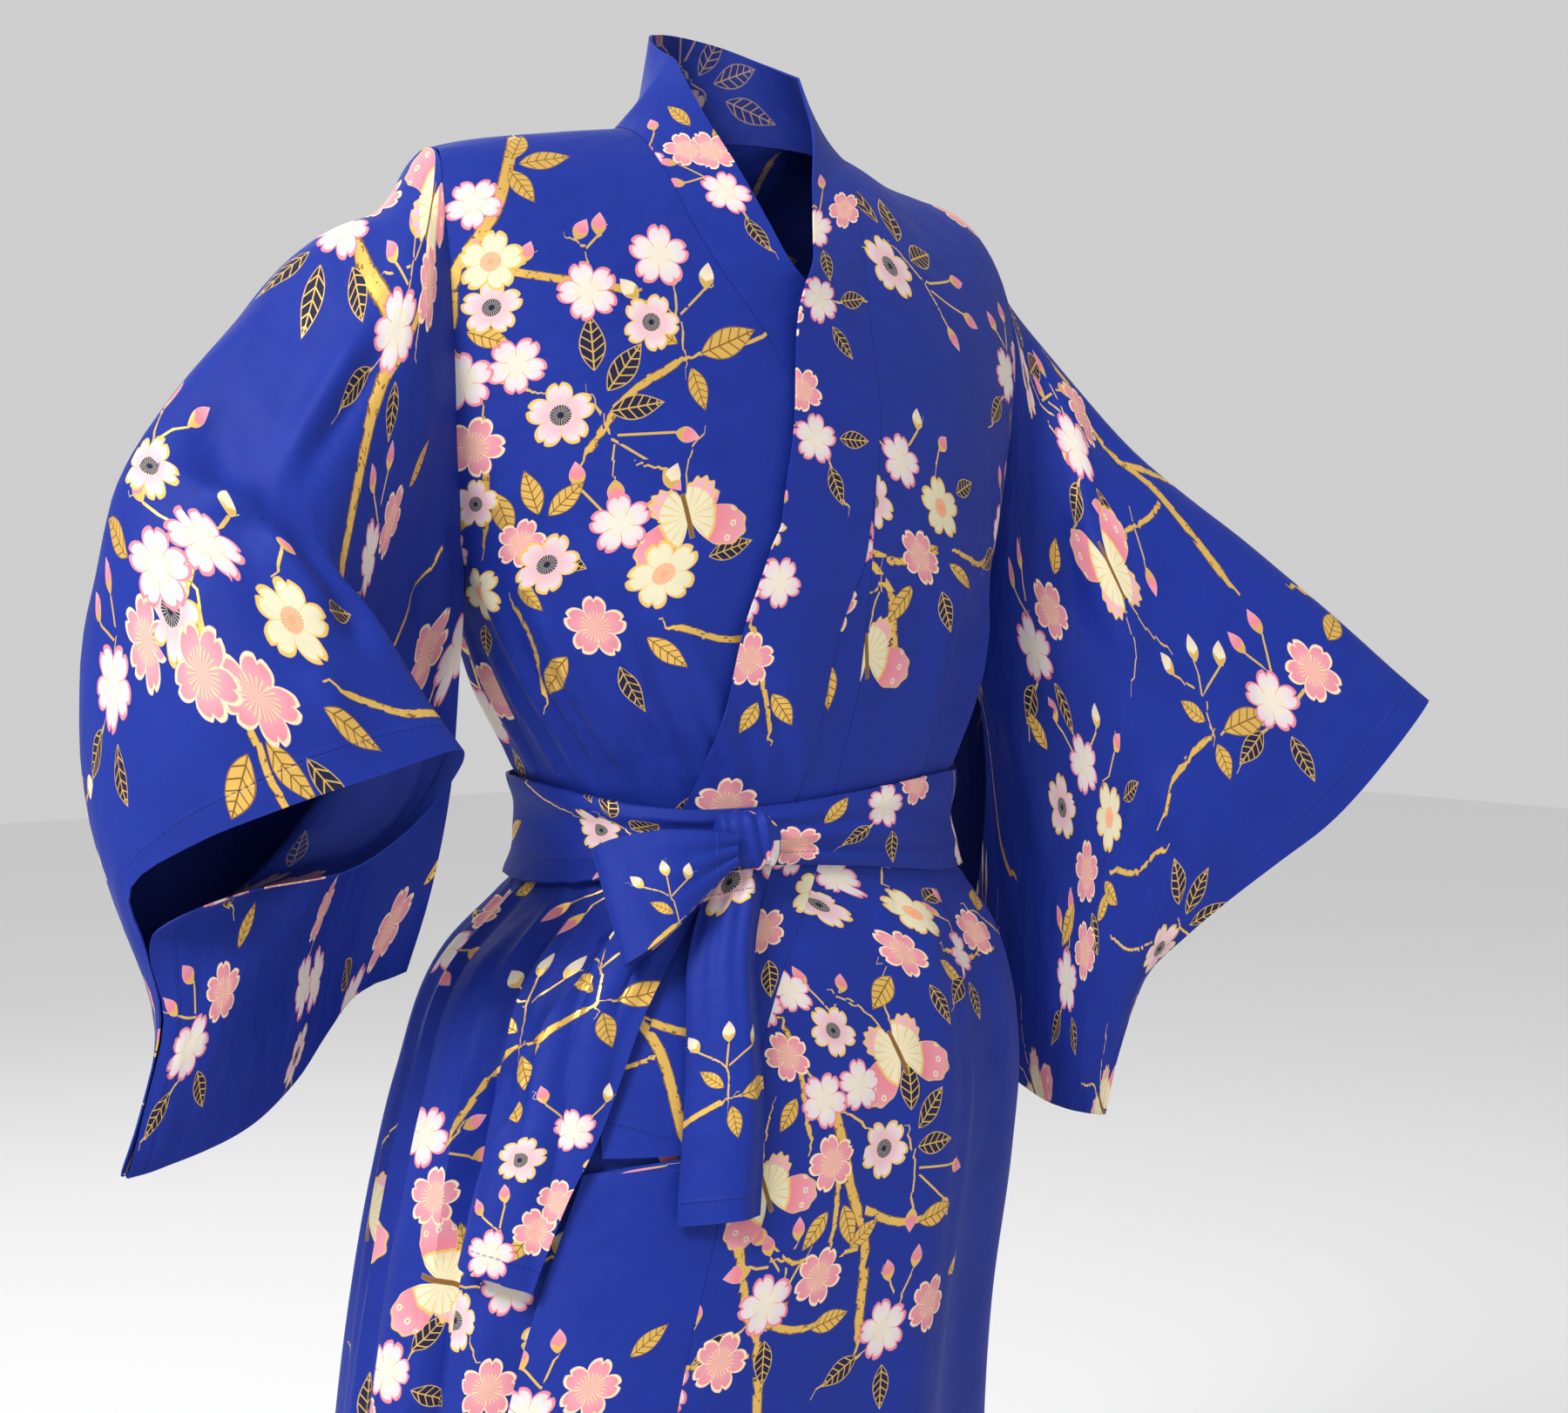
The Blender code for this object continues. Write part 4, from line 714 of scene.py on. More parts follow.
def bloom_ink(at, under, gilt):
    """Five notched petals with an outline, and an eye or stamens."""
    x, y, kind = at.parts()
    reach = (x * x + y * y) ** 0.5
    angle = y.math("ARCTAN2", x)
    petal = ((angle * (5 / math.tau)).math("FRACT") - 0.5).abs() * 2
    notch = (1 - petal / 0.17).math("MAXIMUM", 0.0) ** 1.4
    edge = 0.97 - petal ** 2.8 * 0.36 - notch * 0.13
    inside = (edge - reach).sharp(0.03)
    inner = (0.87 - petal ** 2.8 * 0.36 - notch * 0.13 - reach).sharp(0.03)
    split = (petal - 0.955).sharp(0.02) * (reach - 0.25).sharp(0.05)
    cream, edged = kind.equals(0.0), kind.equals(1.0)
    eyed, rose = kind.equals(2.0), kind.equals(3.0)
    outer = (reach - 0.45).sharp(0.5)
    colour = rose.mix(cream.mix(WHITE, CREAM), ROSE)
    colour = (outer * edged * 0.55).mix(colour, BLUSH)
    colour = ((1 - outer) * eyed * 0.75).mix(colour, BLUSH)
    colour = ((1 - outer) * rose * 0.55).mix(colour, BLUSH)
    veins = ((angle * 22.5).math("SINE") - 0.55).sharp(0.25)
    stamens = veins * (0.50 - reach).sharp(0.05) * (1 - eyed) * (1 - cream)
    colour = stamens.mix(colour, (0.80, 0.62, 0.22, 1.0))
    line = rose.mix(edged.mix(GOLD, ROSE), (0.85, 0.62, 0.40, 1.0))
    colour = ((1 - inner).either(split)).mix(colour, line)
    eye = (0.31 - reach).sharp(0.03)
    colour = (eye * cream).mix(colour, SALMON)
    colour = (eye * eyed).mix(colour, NAVY)
    colour = (eye * veins * (reach - 0.08).sharp(0.03) * (cream + eyed) * 0.8).mix(colour, CREAM)
    return inside.mix(under, colour), gilt * (1 - inside)


def leaf_ink(at, under, gilt):
    """A pointed leaf with its midrib and side veins, or a bud in its cup."""
    x, y, kind = at.parts()
    run = (x * 0.5 + 0.5).math("MAXIMUM", 0.0).math("MINIMUM", 1.0)
    away = y.abs()
    bud = (kind - 1.5).sharp(0.1)
    half = (run ** 0.85 * math.pi).math("SINE").math("MAXIMUM", 0.0) * (0.46 + bud * 0.16)
    inside = (half - away - 0.01).sharp(0.03)
    rim = (away - half + 0.075).sharp(0.03)
    side = ((run * 6 - away * 2.2).math("FRACT") - 0.80).sharp(0.08)
    veins = rim.either((0.035 - away).sharp(0.02)).either(side)
    dark = kind.equals(1.0)
    gold_leaf = veins.mix(GOLD, DARK_GOLD)
    dark_leaf = veins.mix(NAVY, GOLD)
    colour = dark.mix(gold_leaf, dark_leaf)
    petal = kind.equals(3.0).mix(ROSE, CREAM)
    petal = ((run - 0.5).sharp(0.5) * 0.6).mix(petal, BLUSH)
    cup = (0.30 - run + away * 0.3).sharp(0.05)
    petal = cup.mix(petal, GOLD)
    petal = (rim * 0.8).mix(petal, kind.equals(3.0).mix(BLUSH, CREAM))
    colour = bud.mix(colour, petal)
    shine = (1 - bud) * (dark * veins + (1 - dark) * (1 - veins)) + bud * cup
    return inside.mix(under, colour), gilt * (1 - inside) + shine * inside


def wood_ink(at, under, gilt, grain, thin):
    """Gold wood with dark edges and knots, or a plain gold stem."""
    _, across, _ = at.parts()
    away = across.abs()
    wander = grain * 0.5 - 0.25
    inside = (1.0 + wander * (0.3 if thin else 1.0) - away).sharp(0.12)
    if thin:
        return inside.mix(under, GOLD), gilt * (1 - inside) + inside
    bark = (away - 0.70).sharp(0.15).either((grain - 0.60).sharp(0.06) * (away - 0.15).sharp(0.1))
    colour = bark.mix(GOLD, DARK_GOLD)
    return inside.mix(under, colour), gilt * (1 - inside) + inside * (1 - bark * 0.5)


def wing_ink(at, under, gilt):
    """A butterfly from above: rose fore wings with pale spots, cream hind wings, gold veins."""
    x, y, _ = at.parts()
    away = x.abs()
    angle = away.math("ARCTAN2", y * -1)
    reach = (x * x + y * y) ** 0.5
    frill = (angle * 27).math("SINE") * 0.018
    fore = ((angle - 1.02).abs() * 2.1).math("MINIMUM", math.pi / 2).math("COSINE") ** 0.62 + frill
    hind = ((angle - 2.30).abs() * 1.75).math("MINIMUM", math.pi / 2)
    hind = hind.math("COSINE") ** 0.55 * 0.66 + frill * 1.5
    fore_in = (fore - reach).sharp(0.02)
    hind_in = (hind - reach).sharp(0.02) * (1 - fore_in)
    veins = ((angle * 17).math("SINE") - 0.86).sharp(0.10)
    heart = (0.42 - reach + (angle - 1.3).abs() * 0.08).sharp(0.02)
    heart_rim = (0.455 - reach + (angle - 1.3).abs() * 0.08).sharp(0.015) * (1 - heart)
    spot_turn = ((angle * 3.2).math("FRACT") - 0.5) / 3.2
    spot = (spot_turn * spot_turn * 0.6 + (reach - 0.76) * (reach - 0.76)) ** 0.5
    colour = ((reach - 0.5).sharp(0.5) * 0.6).mix(ROSE, BLUSH)
    colour = (0.055 - spot).sharp(0.012).mix(colour, CREAM)
    colour = (0.028 - spot).sharp(0.012).mix(colour, ROSE)
    colour = heart.mix(colour, CREAM)
    colour = (heart * veins).either(heart_rim).mix(colour, GOLD)
    colour = (reach - fore + 0.045).sharp(0.015).mix(colour, GOLD)
    tail_wing = (reach - 0.44).sharp(0.02).mix(CREAM, BLUSH)
    tail_wing = veins.either((reach - hind + 0.06).sharp(0.02)).mix(tail_wing, GOLD)
    inside = fore_in.either(hind_in)
    colour = hind_in.mix(colour, tail_wing)
    body = (0.045 - away).sharp(0.015) * (0.36 - y.abs()).sharp(0.02)
    colour = body.mix(colour, DARK_GOLD)
    inside = inside.either(body)
    return inside.mix(under, colour), gilt * (1 - inside)


def printed_cotton(name, wrong_side):
    """Blue cotton with the print on it: smooth threads with a soft sheen, and metallic ink in the gold."""
    material = bpy.data.materials.new(name)
    material.use_nodes = True
    tree = material.node_tree
    shader = tree.nodes["Principled BSDF"]
    first = Wire(tree, None)

    def layer(named):
        settings = {"attribute_name": named, "attribute_type": "GEOMETRY"}
        return first.make("ShaderNodeAttribute", settings, {}, 1)

    def noise(place, scale, detail):
        return first.make("ShaderNodeTexNoise", {}, {"Vector": place, "Scale": scale, "Detail": detail})

    cloth = layer("cloth")
    tone = noise(cloth, 26.0, 3.0)
    narrow = (1500.0, 260.0, 1.0)
    threads = first.make("ShaderNodeVectorMath", {"operation": "MULTIPLY"}, {0: cloth, 1: narrow})
    threads = noise(threads, 1.0, 1.0)
    grain = noise(cloth, 260.0, 2.0)
    colour = (tone * 0.8 + threads * 0.5 - 0.3).mix(DEEP_BLUE, BLUE)
    gilt = tone * 0.0
    colour, gilt = wood_ink(layer("wood"), colour, gilt, grain, False)
    colour, gilt = wood_ink(layer("stem"), colour, gilt, grain, True)
    for named in ("leaf", "leaflet", "bud"):
        colour, gilt = leaf_ink(layer(named), colour, gilt)
    colour, gilt = wing_ink(layer("wing"), colour, gilt)
    for named in ("flower", "bloom"):
        colour, gilt = bloom_ink(layer(named), colour, gilt)
    # The wrong side, on the shell's inner faces: its print shows faintly through, as on the real cloth, and
    # its ground is darkened to a deeper blue as painted shade for the robe's inside.
    if wrong_side:
        faded_and_painted_shade = (tone * 0.1 + 0.55).mix(colour, (0.007, 0.020, 0.190, 1.0))
        colour, gilt = faded_and_painted_shade, gilt * 0.2
    across, _, edge = cloth.parts()
    stitch = (0.0006 - (edge - 0.0125).abs()).sharp(0.0004) * ((across * 260).math("FRACT") - 0.3).sharp(0.1)
    tree.links.new((stitch * 0.4).mix(colour, DEEP_BLUE).socket, shader.inputs["Base Color"])
    tree.links.new((gilt * 0.55).socket, shader.inputs["Metallic"])
    tree.links.new((0.62 - gilt * 0.20 + threads * 0.08).socket, shader.inputs["Roughness"])
    weave = threads * 0.5 + grain * 0.3
    woven = first.make("ShaderNodeBump", {}, {"Height": weave, "Strength": 0.12, "Distance": 0.0004})
    crumple = noise(cloth, 14.0, 3.0)
    hem = (edge - 0.0135).sharp(0.0015) * -0.5 - stitch
    folded = first.make("ShaderNodeBump", {},
                        {"Height": hem, "Strength": 0.7, "Distance": 0.0012, "Normal": woven})
    soft = first.make("ShaderNodeBump", {},
                      {"Height": crumple, "Strength": 0.55, "Distance": 0.008, "Normal": folded})
    tree.links.new(soft.socket, shader.inputs["Normal"])
    shader.inputs["Sheen Weight"].default_value = 0.02
    shader.inputs["Specular IOR Level"].default_value = 0.22
    return material


cotton_front = printed_cotton("printed_cotton", False)
cotton_back = printed_cotton("printed_cotton_back", True)


def lay_flat(points, ring=False, middle_row=0, fold=None, from_end=False):
    """Where each cell of a surface lies on the cloth before it was sewn: metres across at the start and
    the end of the cell, and metres along."""
    after = np.roll(points, -1, axis=1) if ring else points[:, 1:]
    before = points if ring else points[:, :-1]
    wide = np.linalg.norm(after - before, axis=-1)
    end = np.cumsum(wide, axis=1)
    start = end - wide
    if from_end:
        start, end = start - end[:, -1:], end - end[:, -1:]
    if fold is not None:
        start[:, fold:] -= end[:, -1:]
        end[:, fold:] -= end[:, -1:].copy()
    steps = np.linalg.norm(np.diff(points, axis=0), axis=-1).mean(axis=1)
    run = np.concatenate([[0.0], np.cumsum(steps)])
    run = run - run[middle_row]
    along = np.broadcast_to(run[:, None], start.shape)
    return np.stack([start, along], -1), np.stack([end, along], -1)


FACE_SHARE = 0.48         # share of the chart's width that each side of a shell takes up
RIM_STRIP = (0.486, 0.494)    # the strip between them that its edges take up


def cells(left, right, low, high):
    """The four corners of each cell of a chart, round from the lower left."""
    return np.stack([np.stack([left, low], -1), np.stack([right, low], -1), np.stack([right, high], -1),
                     np.stack([left, high], -1)], 1)


def shell(name, panel, points, normals, thick, lay, ring=False, kept=None):
    """A thin closed shell on a surface of rows and columns, with the print's motifs laid on it."""
    rows, columns = points.shape[:2]
    last = columns if ring else columns - 1
    if kept is None:
        kept = np.ones((rows - 1, last), bool)
    row, place = np.nonzero(kept)
    after = (place + 1) % columns
    corners = np.stack([row * columns + place, row * columns + after, (row + 1) * columns + after,
                        (row + 1) * columns + place], -1)
    start, end = lay
    flat = np.stack([start[row, place], end[row, place], end[row + 1, place], start[row + 1, place]], 1)
    u, v = place / last * FACE_SHARE, row / (rows - 1)
    chart = cells(u, u + FACE_SHARE / last, v, v + 1 / (rows - 1))
    spot = points.reshape(-1, 3)
    out = normals.reshape(-1, 3)
    square = np.cross(spot[corners[:, 2]] - spot[corners[:, 0]], spot[corners[:, 3]] - spot[corners[:, 1]])
    if np.sum(square * out[corners[:, 0]]) < 0:
        corners, flat, chart = corners[:, ::-1], flat[:, ::-1], chart[:, ::-1]
    count = rows * columns
    sides = {}
    for cell, face in enumerate(corners):
        for corner in range(4):
            sides[(face[corner], face[(corner + 1) % 4])] = (cell, corner)
    rim, rim_flat = [], []
    for (a, b), (cell, corner) in sides.items():
        if (b, a) not in sides:
            rim.append((b, a, a + count, b + count))
            first, second = flat[cell, corner], flat[cell, (corner + 1) % 4]
            rim_flat.append((second, first, first, second))
    rim, rim_flat = np.array(rim), np.array(rim_flat)
    step = np.arange(len(rim)) / len(rim)
    low, high = (np.full(len(rim), side) for side in RIM_STRIP)
    rim_chart = cells(low, high, step, step + 1 / len(rim))[:, (0, 3, 2, 1)]
    faces = np.concatenate([corners, corners[:, ::-1] + count, rim])
    flat = np.concatenate([flat, flat[:, ::-1], rim_flat])
    chart = np.concatenate([chart, chart[:, ::-1] + (0.5, 0.0), rim_chart])
    used = np.unique(faces)
    place_of = np.zeros(2 * count, int)
    place_of[used] = np.arange(len(used))
    both = np.concatenate([spot + out * thick / 2, spot - out * thick / 2])[used]
    mesh = bpy.data.meshes.new(name)
    mesh.from_pydata(both.tolist(), [], place_of[faces].tolist())
    mesh.shade_smooth()
    mesh.uv_layers.new(name="OFBake").data.foreach_set("uv", chart.astype(np.float32).ravel())
    inside = np.zeros(len(faces), np.int32)
    inside[len(corners):2 * len(corners)] = 1
    mesh.polygons.foreach_set("material_index", inside)
    middle = spot[corners].mean(axis=1)
    sprigs = place_sprigs(panel, middle, out[corners[:, 0]], flat[:len(corners)].mean(axis=1))
    print_on(mesh, flat, sprigs, ring)
    mesh.set_sharp_from_angle(angle=math.radians(50))
    piece = bpy.data.objects.new(name, mesh)
    scene.collection.objects.link(piece)
    mesh.materials.append(cotton_front)
    mesh.materials.append(cotton_back)
    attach(piece, "root")
    return piece


SKIRT_LEVELS = np.concatenate([np.linspace(-1.03, -0.34, 72)[:-1], np.linspace(-0.34, 0.0, 58)])
CHEST_LEVELS = np.linspace(0.0, 1.0, 46)
ACROSS = 66               # columns of a body panel at the back
NAPE = 12                 # the columns among them between the centre back and the neckband's side


def body_panel(left):
    """One length of cloth from the front hem over the shoulder to the back hem."""
    sign, side_name = (1, "left") if left else (-1, "right")
    share = np.linspace(0.0, 1.0, ACROSS - NAPE)
    behind = np.linspace(0.0, 1.0, ACROSS)
    rows, normals, kept = [], [], []

    def row(start, end, level, layered):
        angle = start + (end - start) * share
        if layered:
            angle = np.concatenate([np.full(NAPE, start), angle])
        else:
            middle = sign * (180 - SEAM_TURN)
            even = middle + (end - middle) * behind
            beside = np.concatenate([middle + (start - middle) * np.arange(NAPE) / NAPE, angle])
            angle = even + (beside - even) * smooth(0.0, 0.6, level)
        out = layer_out(angle, left) if layered else 0.0
        rows.append(form(angle, level, out))
        normals.append(face_out(angle, level, out))
        kept.append(np.arange(ACROSS - 1) >= (NAPE if layered else 0))

    for level in SKIRT_LEVELS[:-1]:
        row(gore_seam(UNDERARM + level, left), sign * (90 - SEAM_TURN), level, True)
    for level in CHEST_LEVELS:
        arm = sign * (column(ARMHOLE, side_name, level, "level") - SEAM_TURN)
        up = min(level / 0.15, 1.0)
        start = gore_seam(UNDERARM, left) * (1 - up) + neck_seam(max(level, 0.15), left) * up
        row(start, arm, level, True)
    for level in CHEST_LEVELS[::-1]:
        arm = sign * (180 - column(ARMHOLE, side_name, level, "level") + SEAM_TURN)
        row(sign * 180 - neck_seam(1.0, left), arm, level, False)
    ridge = len(SKIRT_LEVELS) + len(CHEST_LEVELS) - 2
    rows[ridge] = np.concatenate([rows[ridge + 1][:NAPE], rows[ridge][NAPE:]])
    normals[ridge] = np.concatenate([normals[ridge + 1][:NAPE], normals[ridge][NAPE:]])
    del rows[ridge + 1], normals[ridge + 1], kept[ridge + 1]
    kept[ridge] = np.arange(ACROSS - 1) >= 0
    for level in SKIRT_LEVELS[-2::-1]:
        row(sign * 180, sign * (90 + SEAM_TURN), level, False)
    name = "body_left" if left else "body_right"
    points = np.array(rows)
    lay = lay_flat(points, from_end=True, middle_row=ridge)
    return shell(name + "_cloth", name, points, np.array(normals), CLOTH, lay, kept=np.array(kept[:-1]))


for left in (True, False):
    panel = body_panel(left)
    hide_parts("body_left" if left else "body_right")

# The gores: a half-width strip of the same cloth sewn along each front panel, from the hem up to a point
# under the neckband. Its free front edge is hemmed.
BAND_END = -0.32          # level of the neckband's lower ends


def gore_rows():
    """The gore's levels, with a step at the neckband's lower end."""
    low = SKIRT_LEVELS[SKIRT_LEVELS < BAND_END - 0.006]
    high = SKIRT_LEVELS[SKIRT_LEVELS > BAND_END + 0.001]
    return np.concatenate([low, [BAND_END - 0.0008, BAND_END], high, np.linspace(0.0, GORE_TIP, 14)[1:]])



def gore(left):
    """The front gore, from the hem to its tip under the neckband."""
    sign = 1 if left else -1
    rows, normals = [], []
    for level in gore_rows():
        height = UNDERARM + level
        seam = gore_seam(UNDERARM + min(level, 0.0), left)
        if level > 0:
            above = neck_seam(0.15, left)
            seam = seam + (above - seam) * level / 0.15
        if level < BAND_END - 0.001:
            edge = -sign * column(GORE, "edge", height)
        else:
            edge = neck_seam(level, left) + sign * SEAM_TURN
        angle = np.linspace(edge, seam - 2 * sign * SEAM_TURN, 40)
        out = layer_out(angle, left)
        rows.append(form(angle, level, out))
        normals.append(face_out(angle, level, out))
    name = "okumi_left" if left else "okumi_right"
    points = np.array(rows)
    return shell(name + "_cloth", name, points, np.array(normals), CLOTH, lay_flat(points))


for left in (True, False):
    strip = gore(left)
    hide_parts("okumi_left" if left else "okumi_right")

# The neckband: one long strip folded lengthwise over the neck's raw edge, running down both fronts and
# standing round the neck.
BAND = 0.0018             # the neckband is cloth on cloth
BAND_COLUMNS = 17
LEVEL_STEP = 0.01         # step of level over which the seam's direction is taken
# The neckband's width on the front at each level. Above the crossing the band leaves the chest and
# stands round the neck.
BAND_WIDE = dict(
    level=(-0.32, -0.20, -0.10, 0.04, 0.235, 0.60),
    width=(0.054, 0.057, 0.061, 0.064, 0.064, 0.062),
)

# The neckband's free edge round the neck, by the angle from the left side over the nape to the right.
COLLAR_TOP = dict(
    turn=(0.0, 30.0, 60.0, 90.0, 120.0, 150.0, 180.0),
    edge_x=(0.049, 0.045, 0.028, 0.0, -0.028, -0.043, -0.048),
    edge_y=(-0.016, 0.016, 0.038, 0.047, 0.038, 0.016, -0.014),
    edge_z=(0.030, 0.044, 0.056, 0.061, 0.057, 0.045, 0.030),
)
# The band's free edge between the side of the neck and the crossing.
LEFT_EDGE = dict(
    level=(0.375, 0.60, 0.70, 0.85, 1.0),
    x=(-0.026, 0.003, 0.016, 0.036, 0.049),
    y=(-0.122, -0.086, -0.070, -0.046, -0.016),
    z=(-0.126, -0.072, -0.048, -0.010, 0.030),
)
RIGHT_EDGE = dict(
    level=(0.333, 0.444, 0.553, 0.667, 0.84, 1.0),
    x=(-0.002, -0.024, -0.034, -0.040, -0.045, -0.048),
    y=(-0.113, -0.101, -0.088, -0.070, -0.036, -0.014),
    z=(-0.148, -0.108, -0.078, -0.048, -0.004, 0.030),
)


def level_at(side, height):
    """Level at which the surface above or below the underarm has this height."""
    share = (height - UNDERARM) / (SHOULDER + RIDGE_TOP - column(RIDGE, "drop", side, "side"))
    above = 2 / math.pi * np.arcsin(np.clip(share, 0.0, 1.0))
    return np.where(height < UNDERARM, height - UNDERARM, above)


def band_rows(start, edge, gap):
    """The band's columns from a gap beside its seam to its free edge, as straight rows."""
    begin = start + (edge - start) * (gap / np.linalg.norm(edge - start, axis=-1, keepdims=True))
    return begin[:, None] + (edge - begin)[:, None] * np.linspace(0.0, 1.0, BAND_COLUMNS)[:, None]


def band_front(left, levels):
    """The neckband down one front, from its seam to its free edge."""
    sign = 1 if left else -1
    table, edges = (LEFT_NECK, LEFT_EDGE) if left else (RIGHT_NECK, RIGHT_EDGE)
    share = np.linspace(0.0, 1.0, BAND_COLUMNS)
    side = column(table, "side", levels, "level")
    height = form(side_angle(side, levels), levels)[:, 2]
    ends = []
    for near in (levels + LEVEL_STEP, levels - LEVEL_STEP):
        beside = column(table, "side", near, "level")
        ends.append(np.stack([beside, form(side_angle(beside, near), near)[:, 2]], -1))
    run = ends[0] - ends[1]
    run[levels < BAND_END + LEVEL_STEP] = run[levels > BAND_END + LEVEL_STEP][0]
    run[levels > 0.9] = run[levels > 0.9][0]
    run = unit(run)
    square = np.stack([-sign * run[:, 1], sign * run[:, 0]], -1)
    width = column(BAND_WIDE, "width", levels, "level")
    along = side[:, None] + square[:, :1] * (width[:, None] * share + SEAM)
    rise = height[:, None] + square[:, 1:] * (width[:, None] * share + SEAM)
    lowest = UNDERARM + BAND_END + SEAM
    rise = np.maximum(rise, lowest)
    rise[0] = lowest
    level = level_at(along, rise)
    angle = side_angle(along, level)
    raised = 0.0013 * share * smooth(-0.415, -0.375, rise) if left else 0.0
    on_chest = form(angle, level, layer_out(angle, left) + raised)
    start = form(side_angle(side, levels), levels, layer_out(side_angle(side, levels), left))
    where = np.clip(levels, edges["level"][0], None)
    edge = np.stack([column(edges, axis, where, "level") for axis in "xyz"], -1)
    standing = band_rows(start, edge, 0.0003)
    blend = smooth(0.24, 0.50, levels)[:, None, None]
    return on_chest + (standing - on_chest) * blend


def band_nape():
    """The neckband round the nape, standing from its seam to its free edge."""
    part = np.arange(1, NAPE + 1) / NAPE
    left = 180 - neck_seam(1.0, True)
    right = -180 - neck_seam(1.0, False)
    angle = np.concatenate([left + (180 - left) * part, right + (-180 - right) * part[-2::-1]])
    turns = 90 * np.concatenate([part, 2 - part[-2::-1]])
    start = form(angle, 1.0)
    edge = np.stack([column(COLLAR_TOP, "edge_" + axis, turns, "turn") for axis in "xyz"], -1)
    return band_rows(start, edge, 0.0001)


def neckband():
    """The whole neckband, from the lower end on the left front to that on the right."""
    levels = np.concatenate([np.linspace(BAND_END, 0.0, 64)[:-1], CHEST_LEVELS])
    points = np.concatenate([band_front(True, levels), band_nape(), band_front(False, levels)[::-1]])
    away = points - np.array((0.0, -0.01, 0.0))
    away[..., 2] = 0.0
    normals = outward(grid_normals(points), away)
    return shell("collar_cloth", "collar", points, normals, BAND, lay_flat(points))


band = neckband()
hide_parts("collar")

# The sleeves: each one length of cloth folded at the top and sewn along the bottom, set into the armhole
# and hanging as a flat bag, its upper wrist edge left open.
ARM_LEVELS = (0.0, 0.15, 0.30, 0.45, 0.60, 0.74, 0.88, 1.0)    # levels of the armhole's seam points
FOLD_OPEN = 0.009         # least distance between the bag's two layers
SLEEVE_START = 0.0001     # the sleeve's start, off the body panel's edge
SLEEVE_BESIDE = 0.0002    # and to the side of it
CREASE_DEPTH = 1.7        # how many times as deep as in the tables the creases are drawn
SEWN_FROM = dict(left=0.72, right=0.60)    # share of the wrist edge above its sewn part
# One row for each section of a sleeve from the armhole to the wrist edge, with the places of nine
# lines that run along the sleeve. The lines are the top (the fold), the crown, the back
# layer's high, middle and low line, the bag's bottom fold, and the front layer's low, middle and high
# line. The wrist edge is open at its upper part and sewn from there to the bag's corner.
LINE_PLACES = (0.0, 0.12, 0.32, 0.55, 0.80, 1.0, 1.23, 1.48, 1.73)
RIGHT_SLEEVE = (
    ((-0.262, -0.035, -0.108), (-0.272, 0.005, -0.090), (-0.285, 0.055, -0.140), (-0.280, 0.065, -0.270),
     (-0.265, 0.050, -0.430), (-0.255, 0.030, -0.535), (-0.246, 0.012, -0.425), (-0.243, -0.012, -0.310),
     (-0.250, -0.052, -0.200)),
    ((-0.313, -0.045, -0.185), (-0.325, 0.000, -0.142), (-0.342, 0.048, -0.195), (-0.340, 0.060, -0.310),
     (-0.312, 0.047, -0.470), (-0.290, 0.024, -0.572), (-0.278, 0.010, -0.465), (-0.272, -0.014, -0.350),
     (-0.285, -0.052, -0.260)),
    ((-0.346, -0.052, -0.248), (-0.390, -0.005, -0.220), (-0.411, 0.030, -0.290), (-0.402, 0.050, -0.380),
     (-0.350, 0.040, -0.505), (-0.322, 0.016, -0.594), (-0.308, 0.002, -0.500), (-0.290, -0.018, -0.405),
     (-0.303, -0.055, -0.315)),
    ((-0.322, -0.075, -0.295), (-0.385, -0.048, -0.277), (-0.415, -0.010, -0.330), (-0.419, 0.025, -0.412),
     (-0.373, 0.030, -0.523), (-0.352, 0.010, -0.604), (-0.336, -0.006, -0.518), (-0.316, -0.008, -0.438),
     (-0.292, -0.066, -0.372)),
    ((-0.290, -0.090, -0.345), (-0.352, -0.084, -0.345), (-0.402, -0.050, -0.380), (-0.417, 0.002, -0.438),
     (-0.384, 0.015, -0.532), (-0.382, 0.005, -0.609), (-0.364, -0.008, -0.527), (-0.352, -0.004, -0.468),
     (-0.276, -0.048, -0.428)),
    ((-0.260, -0.100, -0.385), (-0.303, -0.100, -0.395), (-0.366, -0.075, -0.417), (-0.410, -0.010, -0.458),
     (-0.388, 0.000, -0.537), (-0.408, 0.000, -0.612), (-0.387, -0.004, -0.532), (-0.384, -0.013, -0.473),
     (-0.291, -0.052, -0.449)),
)
